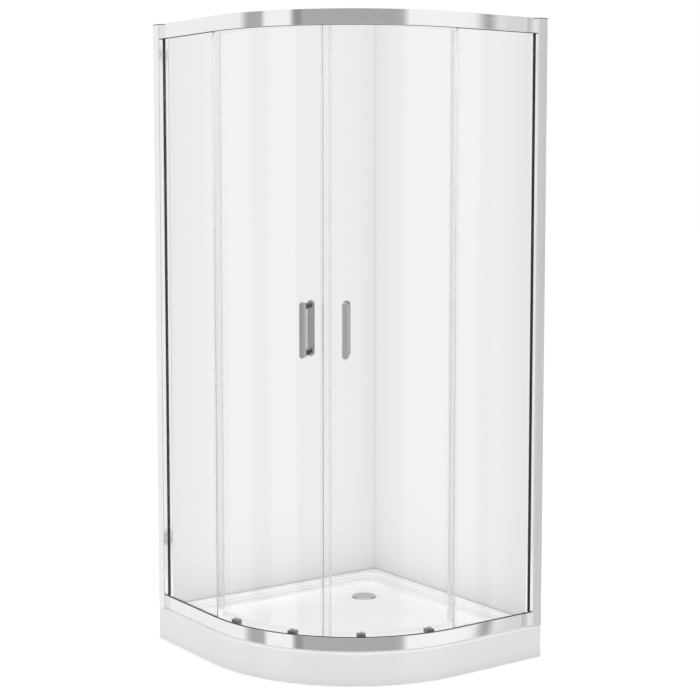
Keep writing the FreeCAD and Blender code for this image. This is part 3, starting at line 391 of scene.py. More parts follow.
# A near-black copy of chrome for the chrome handle posts: a painted dark reflection.
painted_dark_reflection_chrome = make_metal("painted_dark_reflection_chrome", (0.16, 0.16, 0.165), 0.05, 0.1, (1, 1, 1), 60.0)
glass_edge = make_glass_edge()
# A few nodes look different from the rest of their slot.
own_finish = {"frame_screws": profile_satin}
for side in ("left", "right"):
    own_finish[side + "_wall_profile"] = profile_satin
    own_finish[side + "_handle_fixings"] = finishes["dark_plastic"]
    own_finish[side + "_bottom_housings"] = housing_grey
    own_finish[side + "_front_plunger"] = own_finish[side + "_rear_plunger"] = finishes["chrome"]
for node_name, thing in frame["nodes"].items():
    for material_slot in thing.material_slots:
        material_slot.material = own_finish.get(node_name, finishes[slot_of[node_name]])
print("finishes", len(bpy.data.materials))

# %% [markdown]
# ## Surfaces from arrays
# A shape here is a grid of points worked out with whole arrays: one direction runs along a path
# and the other round a profile. The helpers below turn such a grid into a mesh, with its faces
# outwards, and hand it to the body that carries it.

# %% Mesh helpers
# Neighbours closer than this are one point, as where a ring shrinks to nothing on its axis.
SAME_POINT = 0.03 * MM


def grid_faces(rows, columns, close_rows=False, close_columns=False):
    """Quads between the neighbours of a grid of rows times columns points."""
    row = np.arange(rows if close_rows else rows - 1)
    column = np.arange(columns if close_columns else columns - 1)
    row, column = np.meshgrid(row, column, indexing="ij")
    next_row = (row + 1) % rows
    next_column = (column + 1) % columns
    corners = (row * columns + column, next_row * columns + column,
               next_row * columns + next_column, row * columns + next_column)
    return np.stack(corners, axis=-1).reshape(-1, 4)


def capped_faces(rows, columns):
    """The quads of rings stacked in rows, with a flat cap on the first ring and on the last."""
    faces = [list(face) for face in grid_faces(rows, columns, close_columns=True)]
    faces.append(list(range(columns)))
    faces.append(list(range(rows * columns - 1, (rows - 1) * columns - 1, -1)))
    return faces


def make_piece(name, points, faces, body, slot, replaced=(), merge=0.0, finish=None):
    """A closed mesh with its faces outwards, its finish, its body and the nodes it stands for."""
    mesh = bpy.data.meshes.new(name)
    mesh.from_pydata(np.reshape(points, (-1, 3)).tolist(), [], [list(face) for face in faces])
    work = bmesh.new()
    work.from_mesh(mesh)
    if merge:
        bmesh.ops.remove_doubles(work, verts=work.verts, dist=merge)
    bmesh.ops.recalc_face_normals(work, faces=work.faces)
    for face in work.faces:
        face.smooth = True
    work.to_mesh(mesh)
    work.free()
    mesh.materials.append(finish or finishes[slot])
    piece = bpy.data.objects.new(name, mesh)
    bpy.context.scene.collection.objects.link(piece)
    weight = piece.modifiers.new("flat_faces", "WEIGHTED_NORMAL")
    weight.mode = "FACE_AREA"
    weight.weight = 100
    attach(piece, body)
    if replaced:
        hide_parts(*replaced)
    return piece


def soften(corners, cut, steps=4):
    """Rounds every corner of a closed profile. A corner C between A = C - cut towards the last
    point and B = C + cut towards the next becomes (1-t)^2 A + 2t(1-t) C + t^2 B."""
    corners = np.asarray(corners, float)
    cut = np.broadcast_to(np.asarray(cut, float), len(corners))[:, None]
    before = np.roll(corners, 1, axis=0) - corners
    after = np.roll(corners, -1, axis=0) - corners
    first = corners + cut * before / np.linalg.norm(before, axis=1, keepdims=True)
    last = corners + cut * after / np.linalg.norm(after, axis=1, keepdims=True)
    t = np.linspace(0, 1, steps)[None, :, None]
    curve = (1 - t) ** 2 * first[:, None] + 2 * t * (1 - t) * corners[:, None] + t**2 * last[:, None]
    return curve.reshape(-1, 2)


# %% [markdown]
# ## The tray
# The real tray is one acrylic sheet: a straight skirt, a rounded outer edge, a ledge that carries
# the rail, then a basin whose floor falls to the waste. It could be a box with bevels, but then
# the basin's corners and the fall would be missing. So the whole sheet is one grid: columns go
# round the plan, and rows go up the skirt, over the ledge, down into the basin, through the
# waste hole and back underneath.

# %% Tray sizes
tray_floor_z = 68 * MM
tray_fall = 4 * MM
floor_under_z = 62 * MM
rim_wall = 5 * MM
ledge_front = 64 * MM
ledge_back = 38 * MM
basin_slope = 9 * MM
basin_corner = 70 * MM
outer_edge = 6 * MM
wall_edge = 2 * MM
inner_edge = 9 * MM
foot_radius = 22 * MM
recess_radius = 46 * MM
recess_z = 65 * MM
hole_radius = 31 * MM
skirt_corner = 6 * MM
skirt_wall = 5 * MM
recess_lip = 1 * MM
sheet_merge = 0.02 * MM
notch_low = drain_y - 35 * MM
notch_high = drain_y + 35 * MM
notch_z = 58 * MM
# Three more stops along the left wall keep the columns there from running far on the slant.
wall_stops = (0.1, -0.05, -0.2)
ARC_COLUMNS = 73
RUN_COLUMNS = 7
CORNER_COLUMNS = 9
BEND_ROWS = 8
FLOOR_ROWS = 13
FALL_POWER = 1.3

# %% Tray outline


def tray_ring(front, back, corner):
    """The plan outline drawn in by a front and a back inset, each a number or one per column."""
    turn = np.radians(np.linspace(-90, 0, ARC_COLUMNS))
    quarter = np.linspace(0, np.pi / 2, CORNER_COLUMNS)
    spread = np.linspace(0, 1, RUN_COLUMNS + 2)[1:-1]
    x0 = -half_side + back
    x1 = half_side - front
    y0 = -half_side + front
    y1 = half_side - back
    radius = front_radius - front
    parts = [(arc_x + radius * np.cos(turn), arc_y + radius * np.sin(turn))]
    parts.append((x1 + 0 * spread, arc_y + spread * (y1 - corner - arc_y)))
    parts.append((x1 - corner + corner * np.cos(quarter), y1 - corner + corner * np.sin(quarter)))
    parts.append((x1 - corner + spread * (x0 - x1 + 2 * corner), y1 + 0 * spread))
    parts.append((x0 + corner - corner * np.sin(quarter), y1 - corner + corner * np.cos(quarter)))
    wall = np.array([notch_high, notch_high, notch_low, notch_low, *wall_stops])
    parts.append((x0 + 0 * wall, wall))
    parts.append((x0 + corner - corner * np.cos(quarter), y0 + corner - corner * np.sin(quarter)))
    parts.append((x0 + corner + spread * (arc_x - x0 - corner), y0 + 0 * spread))
    return np.stack([np.concatenate([p[0] for p in parts]), np.concatenate([p[1] for p in parts])], -1)


ring_size = len(tray_ring(0.0, 0.0, skirt_corner))
on_front = np.zeros(ring_size)
on_front[:ARC_COLUMNS + RUN_COLUMNS] = 1
on_front[-RUN_COLUMNS - CORNER_COLUMNS:] = 1
notch_first = ARC_COLUMNS + 2 * (RUN_COLUMNS + CORNER_COLUMNS) + 1
print("tray columns", ring_size)


# %% Tray surface


def build_tray():
    """The sheet as a grid closed both ways. Fillets follow r(1 - cos t), r sin t; the floor runs
    straight from the basin's foot to the waste hole and falls with the distance."""
    bend = np.linspace(0, np.pi / 2, BEND_ROWS)
    rows = []

    def add(front, back, corner, z):
        plan = tray_ring(front, back, corner)
        rows.append(np.column_stack([plan, np.broadcast_to(z, ring_size)]))

    low = np.zeros(ring_size)
    low[notch_first:notch_first + 2] = notch_z
    for share in (0.0, 1.0):
        add(0.0, 0.0, skirt_corner, low + (rim_z - outer_edge - low) * share)
    edge = outer_edge * on_front + wall_edge * (1 - on_front)
    plan_outer = tray_ring(0.0, 0.0, skirt_corner)
    plan_inner = tray_ring(outer_edge, outer_edge, skirt_corner)
    inward = (plan_inner - plan_outer) / outer_edge
    for t in bend:
        plan = plan_outer + inward * (edge * (1 - np.cos(t)))[:, None]
        z = rim_z - edge + edge * np.sin(t)
        rows.append(np.column_stack([plan, z]))
    for t in bend:
        shift = -inner_edge * (1 - np.sin(t))
        drop = inner_edge * (1 - np.cos(t))
        add(ledge_front + shift, ledge_back + shift, basin_corner, rim_z - drop)
    foot_z = tray_floor_z + tray_fall
    for t in bend:
        inset = basin_slope + foot_radius * (1 - np.cos(t))
        z = foot_z + foot_radius * (1 - np.sin(t))
        add(ledge_front + inset, ledge_back + inset, basin_corner, z)
    foot = rows[-1]
    centre = np.array([drain_x, drain_y])
    outwards = foot[:, :2] - centre
    outwards = outwards / np.linalg.norm(outwards, axis=1, keepdims=True)
    for share in np.linspace(0, 1, FLOOR_ROWS + 1)[1:]:
        plan = (1 - share) * foot[:, :2] + share * (centre + outwards * recess_radius)
        z = tray_floor_z + tray_fall * (1 - share) ** FALL_POWER
        rows.append(np.column_stack([plan, np.full(ring_size, z)]))
    recess = recess_radius - recess_lip
    for radius, z in ((recess, tray_floor_z - recess_lip), (recess, recess_z),
                      (hole_radius, recess_z), (hole_radius, floor_under_z)):
        rows.append(np.column_stack([centre + outwards * radius, np.full(ring_size, z)]))
    add(ledge_front + basin_slope, ledge_back + basin_slope, basin_corner, floor_under_z)
    add(ledge_front - rim_wall, ledge_back - rim_wall, basin_corner, rim_z - rim_wall)
    add(skirt_wall, skirt_wall, skirt_corner, rim_z - rim_wall)
    add(skirt_wall, skirt_wall, skirt_corner, low)
    grid = np.stack(rows)
    faces = grid_faces(len(rows), ring_size, close_rows=True, close_columns=True)
    return make_piece("tray_shell", grid, faces, "root", "tray_white", ["tray"], sheet_merge)


tray_shell = build_tray()
print("tray faces", len(tray_shell.data.polygons))

# %% [markdown]
# ## Pieces that follow the curved front
# A rail is one aluminium section drawn straight and then rolled to the curve, so it is a profile
# carried along the front path. The profile is given as offset and height, and each of its points
# keeps its offset all the way round. A curved door pane is the same with angles for its ends.

# %% Path helpers
ARC_POINTS = 97
RUN_POINTS = 9
PANE_POINTS = 61
arc_angles = np.radians(np.linspace(-90, 0, ARC_POINTS))


def along_front(offset, start):
    """Plan points of the path at each offset: a straight run from start, the arc, the other run."""
    offset = np.atleast_1d(offset)[:, None]
    run = np.linspace(-half_side + start, arc_x, RUN_POINTS)[None, :-1]
    turn = arc_angles[None, :]
    reach = front_radius - offset
    arc = (arc_x + reach * np.cos(turn), arc_y + reach * np.sin(turn))
    left = (run + 0 * offset, -half_side + offset + 0 * run)
    right = (half_side - offset + 0 * run, -run[:, ::-1] + 0 * offset)
    x = np.concatenate([left[0], arc[0], right[0]], axis=1)
    y = np.concatenate([left[1], arc[1], right[1]], axis=1)
    return np.stack([x, y], axis=-1)


def along_door(offset, first, last):
    """Plan points of the left door's arc between two angles from the diagonal, in degrees."""
    offset = np.atleast_1d(offset)[:, None]
    turn = np.radians(-45 - np.linspace(first, last, PANE_POINTS))[None, :]
    reach = front_radius - offset
    return np.stack([arc_x + reach * np.cos(turn), arc_y + reach * np.sin(turn)], axis=-1)


def on_side(side, points):
    """The points for the left; for the right their mirror image, where (x, y, z) is (-y, -x, z)."""
    if side == "left":
        return points
    return np.concatenate([-points[..., 1:2], -points[..., 0:1], points[..., 2:]], axis=-1)


def swept(name, plan, profile, body, slot, replaced=(), side="left"):
    """The solid between a profile's plan lines, with a flat cap at each end."""
    heights = np.broadcast_to(profile[:, 1][:, None, None], (*plan.shape[:2], 1))
    grid = on_side(side, np.concatenate([plan, heights], axis=-1))
    rows, columns = grid.shape[:2]
    faces = [list(face) for face in grid_faces(rows, columns, close_rows=True)]
    ends = np.arange(rows) * columns
    faces.append(list(ends))
    faces.append(list(ends[::-1] + columns - 1))
    return make_piece(name, grid, faces, body, slot, replaced)


# %% [markdown]
# ## The rails
# Each rail has a tall bright face outside. The top one has a roof and a ledge for the wheels
# behind it, and the bottom one has a floor with a groove and a low lip. Every corner is a little
# round, because a drawn section has no knife edges, and those roundings catch the light.

# %% Rail sections
rail_offset = 12 * MM
rail_inner = 38 * MM
rail_skin = 2.5 * MM
thin_skin = 1.5 * MM
lip_skin = 1.6 * MM
groove_offset = 25.9 * MM
groove_height = 8 * MM
lip_height = 6 * MM
top_rail_height = 46 * MM
bottom_rail_height = 44 * MM
ledge_top = top_z - 27.85 * MM
rail_start = 37 * MM
edge_cut = 1.4 * MM
top_edge_cut = 0.98 * MM
fine_cut = 0.25 * MM


def carried(name, outline, cuts, slot, replaced=()):
    """A section with soft corners, carried along the front from one side profile to the other."""
    profile = soften(outline, cuts)
    return swept(name, along_front(profile[:, 0], rail_start), profile, "root", slot, replaced)


def build_bottom_rail():
    """Outer face, floor, groove wall and lip, as one closed section."""
    base = rim_z
    floor = base + rail_skin
    outline = [
        (rail_offset, base), (rail_inner, base), (rail_inner, base + lip_height),
        (rail_inner - lip_skin, base + lip_height), (rail_inner - lip_skin, floor),
        (groove_offset + thin_skin, floor), (groove_offset + thin_skin, base + groove_height),
        (groove_offset, base + groove_height), (groove_offset, floor),
        (rail_offset + rail_skin, floor), (rail_offset + rail_skin, base + bottom_rail_height),
        (rail_offset, base + bottom_rail_height),
    ]
    cuts = [fine_cut] * len(outline)
    cuts[-1] = edge_cut
    return carried("bottom_rail_section", outline, cuts, "rail_bright", ["bottom_rail"])


def build_top_rail():
    """Outer face, roof, ledge and groove wall, as one closed section."""
    base = top_z - top_rail_height
    inside = rail_offset + rail_skin
    roof = top_z - rail_skin
    ledge = ledge_top - rail_skin
    outline = [
        (rail_offset, base), (inside, base), (inside, ledge),
        (groove_offset, ledge), (groove_offset, base), (groove_offset + thin_skin, base),
        (groove_offset + thin_skin, ledge), (rail_inner, ledge), (rail_inner, ledge_top),
        (inside, ledge_top), (inside, roof), (rail_inner, roof), (rail_inner, top_z), (rail_offset, top_z),
    ]
    cuts = [fine_cut] * len(outline)
    cuts[0] = top_edge_cut
    return carried("top_rail_section", outline, cuts, "rail_bright", ["top_rail"])


rails = [build_bottom_rail(), build_top_rail()]
print("rail faces", [len(rail.data.polygons) for rail in rails])

# %% [markdown]
# ## The lips along the rails
# A soft dark strip is pressed in behind each rail's face and stands a little proud of it. It is
# what draws the fine dark line between the metal and the glass, so it follows the whole front.
# That line is partly this real strip and partly painted shade: the strip stands proud enough to
# darken the line as the shade under the rail's edge would.

# %% Rail lips
lip_depth = 4 * MM
lip_reach = 2.4 * MM
# How far each strip stands proud sets how dark its line is, which is partly painted shade.
low_lip_proud = 2.0 * MM
high_lip_proud = 1.4 * MM
lip_cut = 0.5 * MM


def build_lip(name, low, high):
    """A small rectangle behind the rail's face."""
    first = rail_offset + rail_skin
    outline = [(first, low), (first + lip_reach, low), (first + lip_reach, high), (first, high)]
    return carried(name, outline, lip_cut, "gasket_dark")


low_edge = rim_z + bottom_rail_height
high_edge = top_z - top_rail_height
lips = [build_lip("bottom_rail_lip", low_edge - lip_depth, low_edge + low_lip_proud),
        build_lip("top_rail_lip", high_edge - high_lip_proud, high_edge + lip_depth)]
print("lips", len(lips))

# %% [markdown]
# ## The side profiles and their gaskets
# The upright at each wall is a drawn box section with a pocket that holds the fixed glass. Its
# satin skin is almost white on the flats, so what shows is how its edges turn. It is a ring in
# plan, raised to its height, with every corner softened. A narrow dark strip closes the pocket
# on both faces of the glass.

# %% Side profile section
profile_first = 1 * MM
profile_width = 36.8 * MM
profile_front = 1 * MM
profile_back = 40.4 * MM
profile_skin = 2 * MM
pocket_back = 24 * MM
pocket_front = 19.5 * MM
pocket_rear = 25.5 * MM
cap_thickness = 2.5 * MM
gasket_width = 2.2 * MM
gasket_wall = 3.2 * MM
gasket_cut = 0.6 * MM
gasket_gap = 1 * MM
front_corner = 2 * MM
glass_offset = 20 * MM
pane = 5 * MM


def raised(name, outline, cuts, low, high, body, slot, replaced, side, finish=None):
    """A ring of pairs (distance from the wall, offset), softened and raised from low to high."""
    ring = soften(outline, cuts)
    x = -half_side + ring[:, 0]
    y = -half_side + ring[:, 1]
    grid = on_side(side, np.stack([np.column_stack([x, y, np.full(len(x), z)]) for z in (low, high)]))
    faces = capped_faces(*grid.shape[:2])
    return make_piece(name, grid, faces, body, slot, replaced, finish=finish)


def build_side_profile(side):
    """Two box legs, joined by the pocket between them."""
    start, end, skin = profile_first, profile_width, profile_skin
    outline = [
        (start, profile_front), (end, profile_front), (end, pocket_front), (pocket_back, pocket_front),
        (pocket_back, pocket_rear), (end, pocket_rear), (end, profile_back), (start, profile_back),
        (start, profile_back - skin), (end - skin, profile_back - skin), (end - skin, pocket_rear + skin),
        (pocket_back - skin, pocket_rear + skin), (pocket_back - skin, pocket_front - skin),
        (end - skin, pocket_front - skin), (end - skin, profile_front + skin),
        (start, profile_front + skin),
    ]
    cuts = np.full(len(outline), fine_cut)
    cuts[[1, 6]] = front_corner
    return raised(side + "_side_upright", outline, cuts, rim_z, top_z - cap_thickness, "root",
                  "rail_bright", [side + "_side_profile"], side, profile_satin)


def build_profile_gasket(side, place, first):
    """A strip beside the glass, from the profile's edge outwards."""
    outline = [(profile_width, first), (profile_width + gasket_width, first),
               (profile_width + gasket_width, first + gasket_wall), (profile_width, first + gasket_wall)]
    return raised(side + "_" + place + "_gasket", outline, gasket_cut, low_edge + gasket_gap,
                  high_edge - gasket_gap, "root", "gasket_dark", ["profile_gaskets"], side)


uprights = [build_side_profile(side) for side in ("left", "right")]
strips = []
for side in ("left", "right"):
    strips.append(build_profile_gasket(side, "front", glass_offset - gasket_wall))
    strips.append(build_profile_gasket(side, "back", glass_offset + pane))
print("uprights", len(uprights), "strips", len(strips))

# %% [markdown]
# ## The panes
# Each door is one bent pane of 5 mm toughened glass, and each fixed pane is flat. A pane is a
# thin rectangle with softened corners, carried along the arc or raised. The polished faces are
# clear, and the ground edges get a frosted finish of their own, which is picked by direction: an
# edge's normal is square to the pane's thickness. Each pane stands a hair clear of the strips that
# grip it, because light that enters glass and plastic at one and the same face gets lost there.

# %% Pane edges
# The door's two ends are in degrees from the diagonal.
door_offset = 44.5 * MM
hair = 0.05 * MM
pane_edge = 0.8 * MM
FLAT_FACE = 0.995
door_first = 0.933
door_last = 45.793
door_low = rim_z + 4 * MM
door_high = top_z - 4 * MM


def frost_edges(thing, across):
    """Faces whose normal n has |n . a| under FLAT_FACE take the edge finish; a is across(centres)."""
    mesh = thing.data
    mesh.materials.append(glass_edge)
    count = len(mesh.polygons)
    normals = np.empty(count * 3)
    centres = np.empty(count * 3)
    mesh.polygons.foreach_get("normal", normals)
    mesh.polygons.foreach_get("center", centres)
    through = np.abs((normals.reshape(-1, 3) * across(centres.reshape(-1, 3))).sum(axis=1))
    mesh.polygons.foreach_set("material_index", (through < FLAT_FACE).astype(np.int32))
    return thing


# %% Door panes


def round_the_arc(centres):
    """Unit vectors from the upright axis of the curved front to each face."""
    plan = centres[:, :2] - np.array([arc_x, arc_y])
    plan = plan / np.maximum(np.linalg.norm(plan, axis=1, keepdims=True), 1e-9)
    return np.column_stack([plan, np.zeros(len(plan))])


def build_door_pane(side):
    """The rectangle of the pane's section, carried round the door's arc."""
    near = door_offset + hair
    far = door_offset + pane - hair
    profile = soften([(near, door_low), (far, door_low), (far, door_high), (near, door_high)], pane_edge)
    inset = math.degrees(hair / front_radius)
    plan = along_door(profile[:, 0], door_first + inset, door_last - inset)
    piece = swept(side + "_door_pane", plan, profile, side + "_door", "glass_clear",
                  [side + "_door_glass"], side)
    return frost_edges(piece, round_the_arc)


# %% Fixed panes


def build_fixed_pane(side):
    """A flat pane between the profile's pocket and the fixed seal."""
    low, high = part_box("left_fixed_glass")
    first = low.x + half_side
    last = high.x + half_side - hair
    near = glass_offset + hair
    far = glass_offset + pane - hair
    outline = [(first, near), (last, near), (last, far), (first, far)]
    piece = raised(side + "_fixed_pane", outline, pane_edge, low.z, high.z, "root", "glass_clear",
                   [side + "_fixed_glass"], side)
    square = np.array([[0.0, 1.0, 0.0]]) if side == "left" else np.array([[1.0, 0.0, 0.0]])
    return frost_edges(piece, lambda centres: square)


panes = [build(side) for build in (build_door_pane, build_fixed_pane) for side in ("left", "right")]
print("panes", [piece.name for piece in panes])

# %% [markdown]
# ## The handles
# Inside and outside each door there is a flat bar with round ends on two round posts. The bar is
# a family of stadium outlines: each ring is the last one drawn in by a little, first down the
# side, then round the edge, and at last down to the middle line, where the ring closes.

# %% Handles
handle_angle = 6.85
handle_z = 1079 * MM
bar_length = 172 * MM
bar_width = 22 * MM
bar_depth = 12 * MM
bar_edge = 3.5 * MM
bar_gap = 32 * MM
post_radius = 8 * MM
post_spacing = 141 * MM
post_flare = 1 * MM
washer = 1 * MM
inner_gap = 0.3 * MM
POINT = 0.01 * MM


def stadium(inset, steps=16):
    """A long ring with round ends, drawn in by inset: across and up, from the bar's middle."""
    radius = bar_width / 2 - inset
    reach = bar_length / 2 - bar_width / 2
    turn = np.linspace(0, np.pi, steps)
    across = np.concatenate([radius * np.cos(turn), -radius * np.cos(turn)], axis=-1)
    up = np.concatenate([reach + radius * np.sin(turn), -reach - radius * np.sin(turn)], axis=-1)
    return across, up


def at_handle(side, place, distance, across, up):
    """Points at a handle: the distance off its face of the glass, and across and up from there."""
    turn = math.radians(-45 - handle_angle)
    outward = np.array([math.cos(turn), math.sin(turn), 0])
    sideways = np.array([-math.sin(turn), math.cos(turn), 0])
    upright = np.array([0, 0, 1])
    centre = np.array([arc_x, arc_y, handle_z])
    reach = front_radius - door_offset + distance
    if place == "inner":
        reach = front_radius - door_offset - pane - distance
    grid = centre + outward * reach[:, None, None] + sideways * across[..., None] + upright * up[..., None]
    return on_side(side, grid)


def build_bar(side, place):
    """Rings of the stadium: out over the near edge, up the side, and in over the far edge."""
    bend = np.linspace(0, np.pi / 2, 7)
    most = bar_width / 2 - POINT
    inset = np.concatenate([[most], bar_edge * (1 - np.sin(bend)), bar_edge * (1 - np.cos(bend)), [most]])
    depth = np.concatenate([[0.0], bar_edge * (1 - np.cos(bend)), bar_depth - bar_edge * (1 - np.sin(bend)),
                            [bar_depth]])
    grid = at_handle(side, place, bar_gap + depth, *stadium(inset[:, None]))
    faces = grid_faces(*grid.shape[:2], close_columns=True)
    # The inner bars take the darker chrome copy, which is painted shade.
    return make_piece(side + "_" + place + "_bar", grid, faces, side + "_door", "chrome",
                      [side + "_" + place + "_handle"], SAME_POINT,
                      painted_shade_chrome if place == "inner" else None)


def build_posts(side, place):
    """Two turned posts: a ring of radius r(d) at each distance d between the glass and the bar."""
    foot = washer if place == "outer" else washer + inner_gap
    distance = np.array([foot, foot, foot + post_flare, foot + 2 * post_flare, bar_gap - 2 * post_flare,
                         bar_gap - post_flare / 2, bar_gap + post_flare, bar_gap + post_flare])
    wide = post_radius + post_flare
    tip = 10 * POINT
    radius = np.array([tip, wide, wide, post_radius, post_radius, wide, wide, tip])[:, None]
    turn = np.linspace(0, 2 * np.pi, 33)[:-1]
    across = radius * np.cos(turn)
    up = radius * np.sin(turn)
    pair = np.stack([at_handle(side, place, distance, across, up + share * post_spacing)
                     for share in (-0.5, 0.5)])
    rings, columns = across.shape
    faces = grid_faces(rings, columns, close_columns=True)
    faces = np.concatenate([faces, faces + rings * columns])
    # The posts take the near-black chrome copy, which is a painted dark reflection.
    return make_piece(side + "_" + place + "_posts", pair, faces, side + "_door", "chrome",
                      merge=SAME_POINT, finish=painted_dark_reflection_chrome)


handles = [build(side, place) for build in (build_bar, build_posts)
           for side in ("left", "right") for place in ("outer", "inner")]
print("handle faces", [len(handle.data.polygons) for handle in handles[::4]])

# %% [markdown]
# ## The springs under the release buttons
# A button on each bottom roller is pushed up by a small coil spring. Wire is a circle carried along
# a helix, so a spring is a grid too: one direction follows the helix, the other goes round the
# wire. Each spring fills the height of the frame's springs, with its coils evenly spaced.

# %% Springs
roller_angles = {"front": 12.0, "rear": 36.5}
button_offset = 37.5 * MM
coil_radius = 4.15 * MM
wire_radius = 0.5 * MM
coil_turns = 3


def build_spring(side, end):
    """Centre line (R cos t, R sin t, h t); round it w (cos u N + sin u B), N outwards, B = T x N."""
    low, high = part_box(side + "_plunger_springs")
    turn = np.radians(-45 - roller_angles[end])
    reach = front_radius - button_offset
    t = np.linspace(0, 2 * np.pi * coil_turns, 24 * coil_turns + 1)
    rise = (high.z - low.z - 2 * wire_radius) / t[-1]
    zero = 0 * t
    line = np.column_stack([arc_x + reach * np.cos(turn) + coil_radius * np.cos(t),
                            arc_y + reach * np.sin(turn) + coil_radius * np.sin(t),
                            low.z + wire_radius + rise * t])
    normal = np.column_stack([np.cos(t), np.sin(t), zero])
    tangent = np.column_stack([-coil_radius * np.sin(t), coil_radius * np.cos(t), zero + rise])
    tangent = tangent / np.linalg.norm(tangent, axis=1, keepdims=True)
    other = np.cross(tangent, normal)
    u = np.linspace(0, 2 * np.pi, 9)[:-1]
    wire = (np.cos(u)[None, :, None] * normal[:, None] + np.sin(u)[None, :, None] * other[:, None])
    grid = on_side(side, line[:, None] + wire_radius * wire)
    spring = make_piece(side + "_" + end + "_spring", grid, capped_faces(*grid.shape[:2]),
                        side + "_door", "stainless", [side + "_plunger_springs"])
    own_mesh(spring)
    return spring


springs = [build_spring(side, end) for side in ("left", "right") for end in ("front", "rear")]
print("springs", [spring.name for spring in springs])

# %% [markdown]
# ## The drain cover
# The cover is a pressed disc, bright on its flat and rounded at its rim, on a stem that goes down
# into the waste. Its brightness is partly a painted highlight, since its chrome is a lighter copy. A disc,
# its rim and its underside are one profile turned about the upright axis.

# %% Drain cover
cover_rim = 2.6 * MM
cover_flat = 37 * MM
cover_wall = 3 * MM
cover_dimple = 6 * MM
dimple_depth = 0.5 * MM
stem_radius = 6 * MM
stem_fillet = 2 * MM
rim_undercut = 0.3 * MM


def build_cover():
    """Turns (r, z): the flat top falls by a quarter ellipse to the rim, and returns underneath."""
    top = drain_high.z
    radius = (drain_high.x - drain_low.x) / 2
    bend = np.linspace(0, np.pi / 2, 10)
    rim_r = cover_flat + (radius - cover_flat) * np.sin(bend)
    rim_heights = top - cover_rim * (1 - np.cos(bend))
    under = top - cover_wall
    dimple = top - dimple_depth
    inner_r = [POINT, cover_dimple, 1.5 * cover_dimple, 2 * cover_dimple, 4 * cover_dimple]
    inner_z = [dimple, dimple, top, top, top]
    stem_r = [radius - rim_undercut, stem_radius + stem_fillet, stem_radius, stem_radius, POINT]
    stem_z = [under, under, under - stem_fillet, drain_low.z, drain_low.z]
    r = np.concatenate([inner_r, rim_r, stem_r])
    z = np.concatenate([inner_z, rim_heights, stem_z])
    turn = np.linspace(0, 2 * np.pi, 73)[:-1]
    grid = np.stack([drain_x + r[:, None] * np.cos(turn), drain_y + r[:, None] * np.sin(turn),
                     np.broadcast_to(z[:, None], (len(z), len(turn)))], axis=-1)
    # The cover takes the lighter chrome copy, which is a painted highlight.
    return make_piece("drain_disc", grid, grid_faces(*grid.shape[:2], close_columns=True),
                      "drain_lid", "chrome", ["drain_cover"], merge=SAME_POINT, finish=painted_highlight_chrome)


cover = build_cover()
print("cover faces", len(cover.data.polygons))

# %% [markdown]
# ## The studio
# Metal takes its looks from what it reflects, so the surroundings that only reflections see have
# grey bands in them, as a studio has dark cards between its lamps. A picture of a room could
# stand there too, but bands by compass direction are easy to read and to move. Their places and
# greys were set by comparing the rendered rails with the photographed ones, so they imitate that
# light and belong to no real room. What the lens sees directly is white.

# %% Bands that mirrors see
# Each band is a direction in degrees from +X and the brightness there.
bands = [
    (-180, 0.95), (-119, 0.97), (-113, 0.54), (-110, 0.44), (-100.5, 0.46), (-98.5, 0.8), (-96.5, 0.99),
    (-79, 0.99), (-77.5, 0.62), (-75, 0.32), (-71.5, 0.33), (-69.5, 0.45), (-10, 0.44), (-5, 0.46),
    (-2, 0.53), (-0.3, 0.72), (2.5, 1.0), (38, 1.0), (44, 0.57), (60, 0.9), (100, 0.8), (112, 0.52),
    (152, 0.52), (165, 0.8), (180, 0.95),
]
# The narrow bands beside the right end of the rails have a ramp of their own.
FINE_FIRST = 38.0
FINE_LAST = 44.0
fine_bands = [(38, 1.0), (40.1, 1.0), (40.3, 0.61), (40.5, 0.34), (40.6, 0.34), (40.9, 0.9), (41.3, 0.75),
              (42.1, 0.75), (42.4, 0.58), (44, 0.57)]
# A low black zone, from the right round to behind the doors, gives the handles their dark edges.
DARK_MIDDLE = 105.5
DARK_HALF = 49.5
DARK_RISE = 0.18
DARK_GREY = 0.06
# Zones by height, as the sine of the angle above the horizon: where each starts, where it is
# full, and its grey. A dark ring is above the bands, a pale ground below them, and a bright cap
# straight up and straight down.
RING = (0.36, 0.5, 0.16)
GROUND = (-0.34, -0.5, 0.88)
CAP = (0.66, 0.76, 0.95)
# What a ray that has met two mirrors sees.
TWICE_MIRRORED = 0.97
# The even light that falls on plain surfaces, from the horizon and from overhead.
SKY_LOW = 0.8
SKY_HIGH = 1.1


def grey_ramp(tree, share, stops):
    """A ramp whose stops are pairs of a place from 0 to 1 and a brightness."""
    ramp = add_node(tree, "ShaderNodeValToRGB")
    elements = ramp.color_ramp.elements
    for index, (place, brightness) in enumerate(stops):
        stop = elements[index] if index < 2 else elements.new(place)
        stop.position = place
        stop.color = (brightness, brightness, brightness, 1)
    join(tree, share, ramp.inputs["Fac"])
    return ramp.outputs["Color"]


def mix_colours(tree, factor, first, second):
    """first where the factor is 0 and second where it is 1; each is a socket or a grey."""
    mix = add_node(tree, "ShaderNodeMix", data_type="RGBA")
    join(tree, factor, mix.inputs["Factor"])
    for index, value in ((6, first), (7, second)):
        if isinstance(value, bpy.types.NodeSocket):
            join(tree, value, mix.inputs[index])
        else:
            mix.inputs[index].default_value = (value, value, value, 1)
    return mix.outputs[2]


def add_zone(tree, height, zone, below):
    """The colour below, which turns smoothly into the zone's grey with the height."""
    start, full, grey = zone
    step = add_node(tree, "ShaderNodeMapRange", {"From Min": start, "From Max": full},
                    interpolation_type="SMOOTHSTEP")
    join(tree, height, step.inputs["Value"])
    return mix_colours(tree, step.outputs["Result"], below, grey)


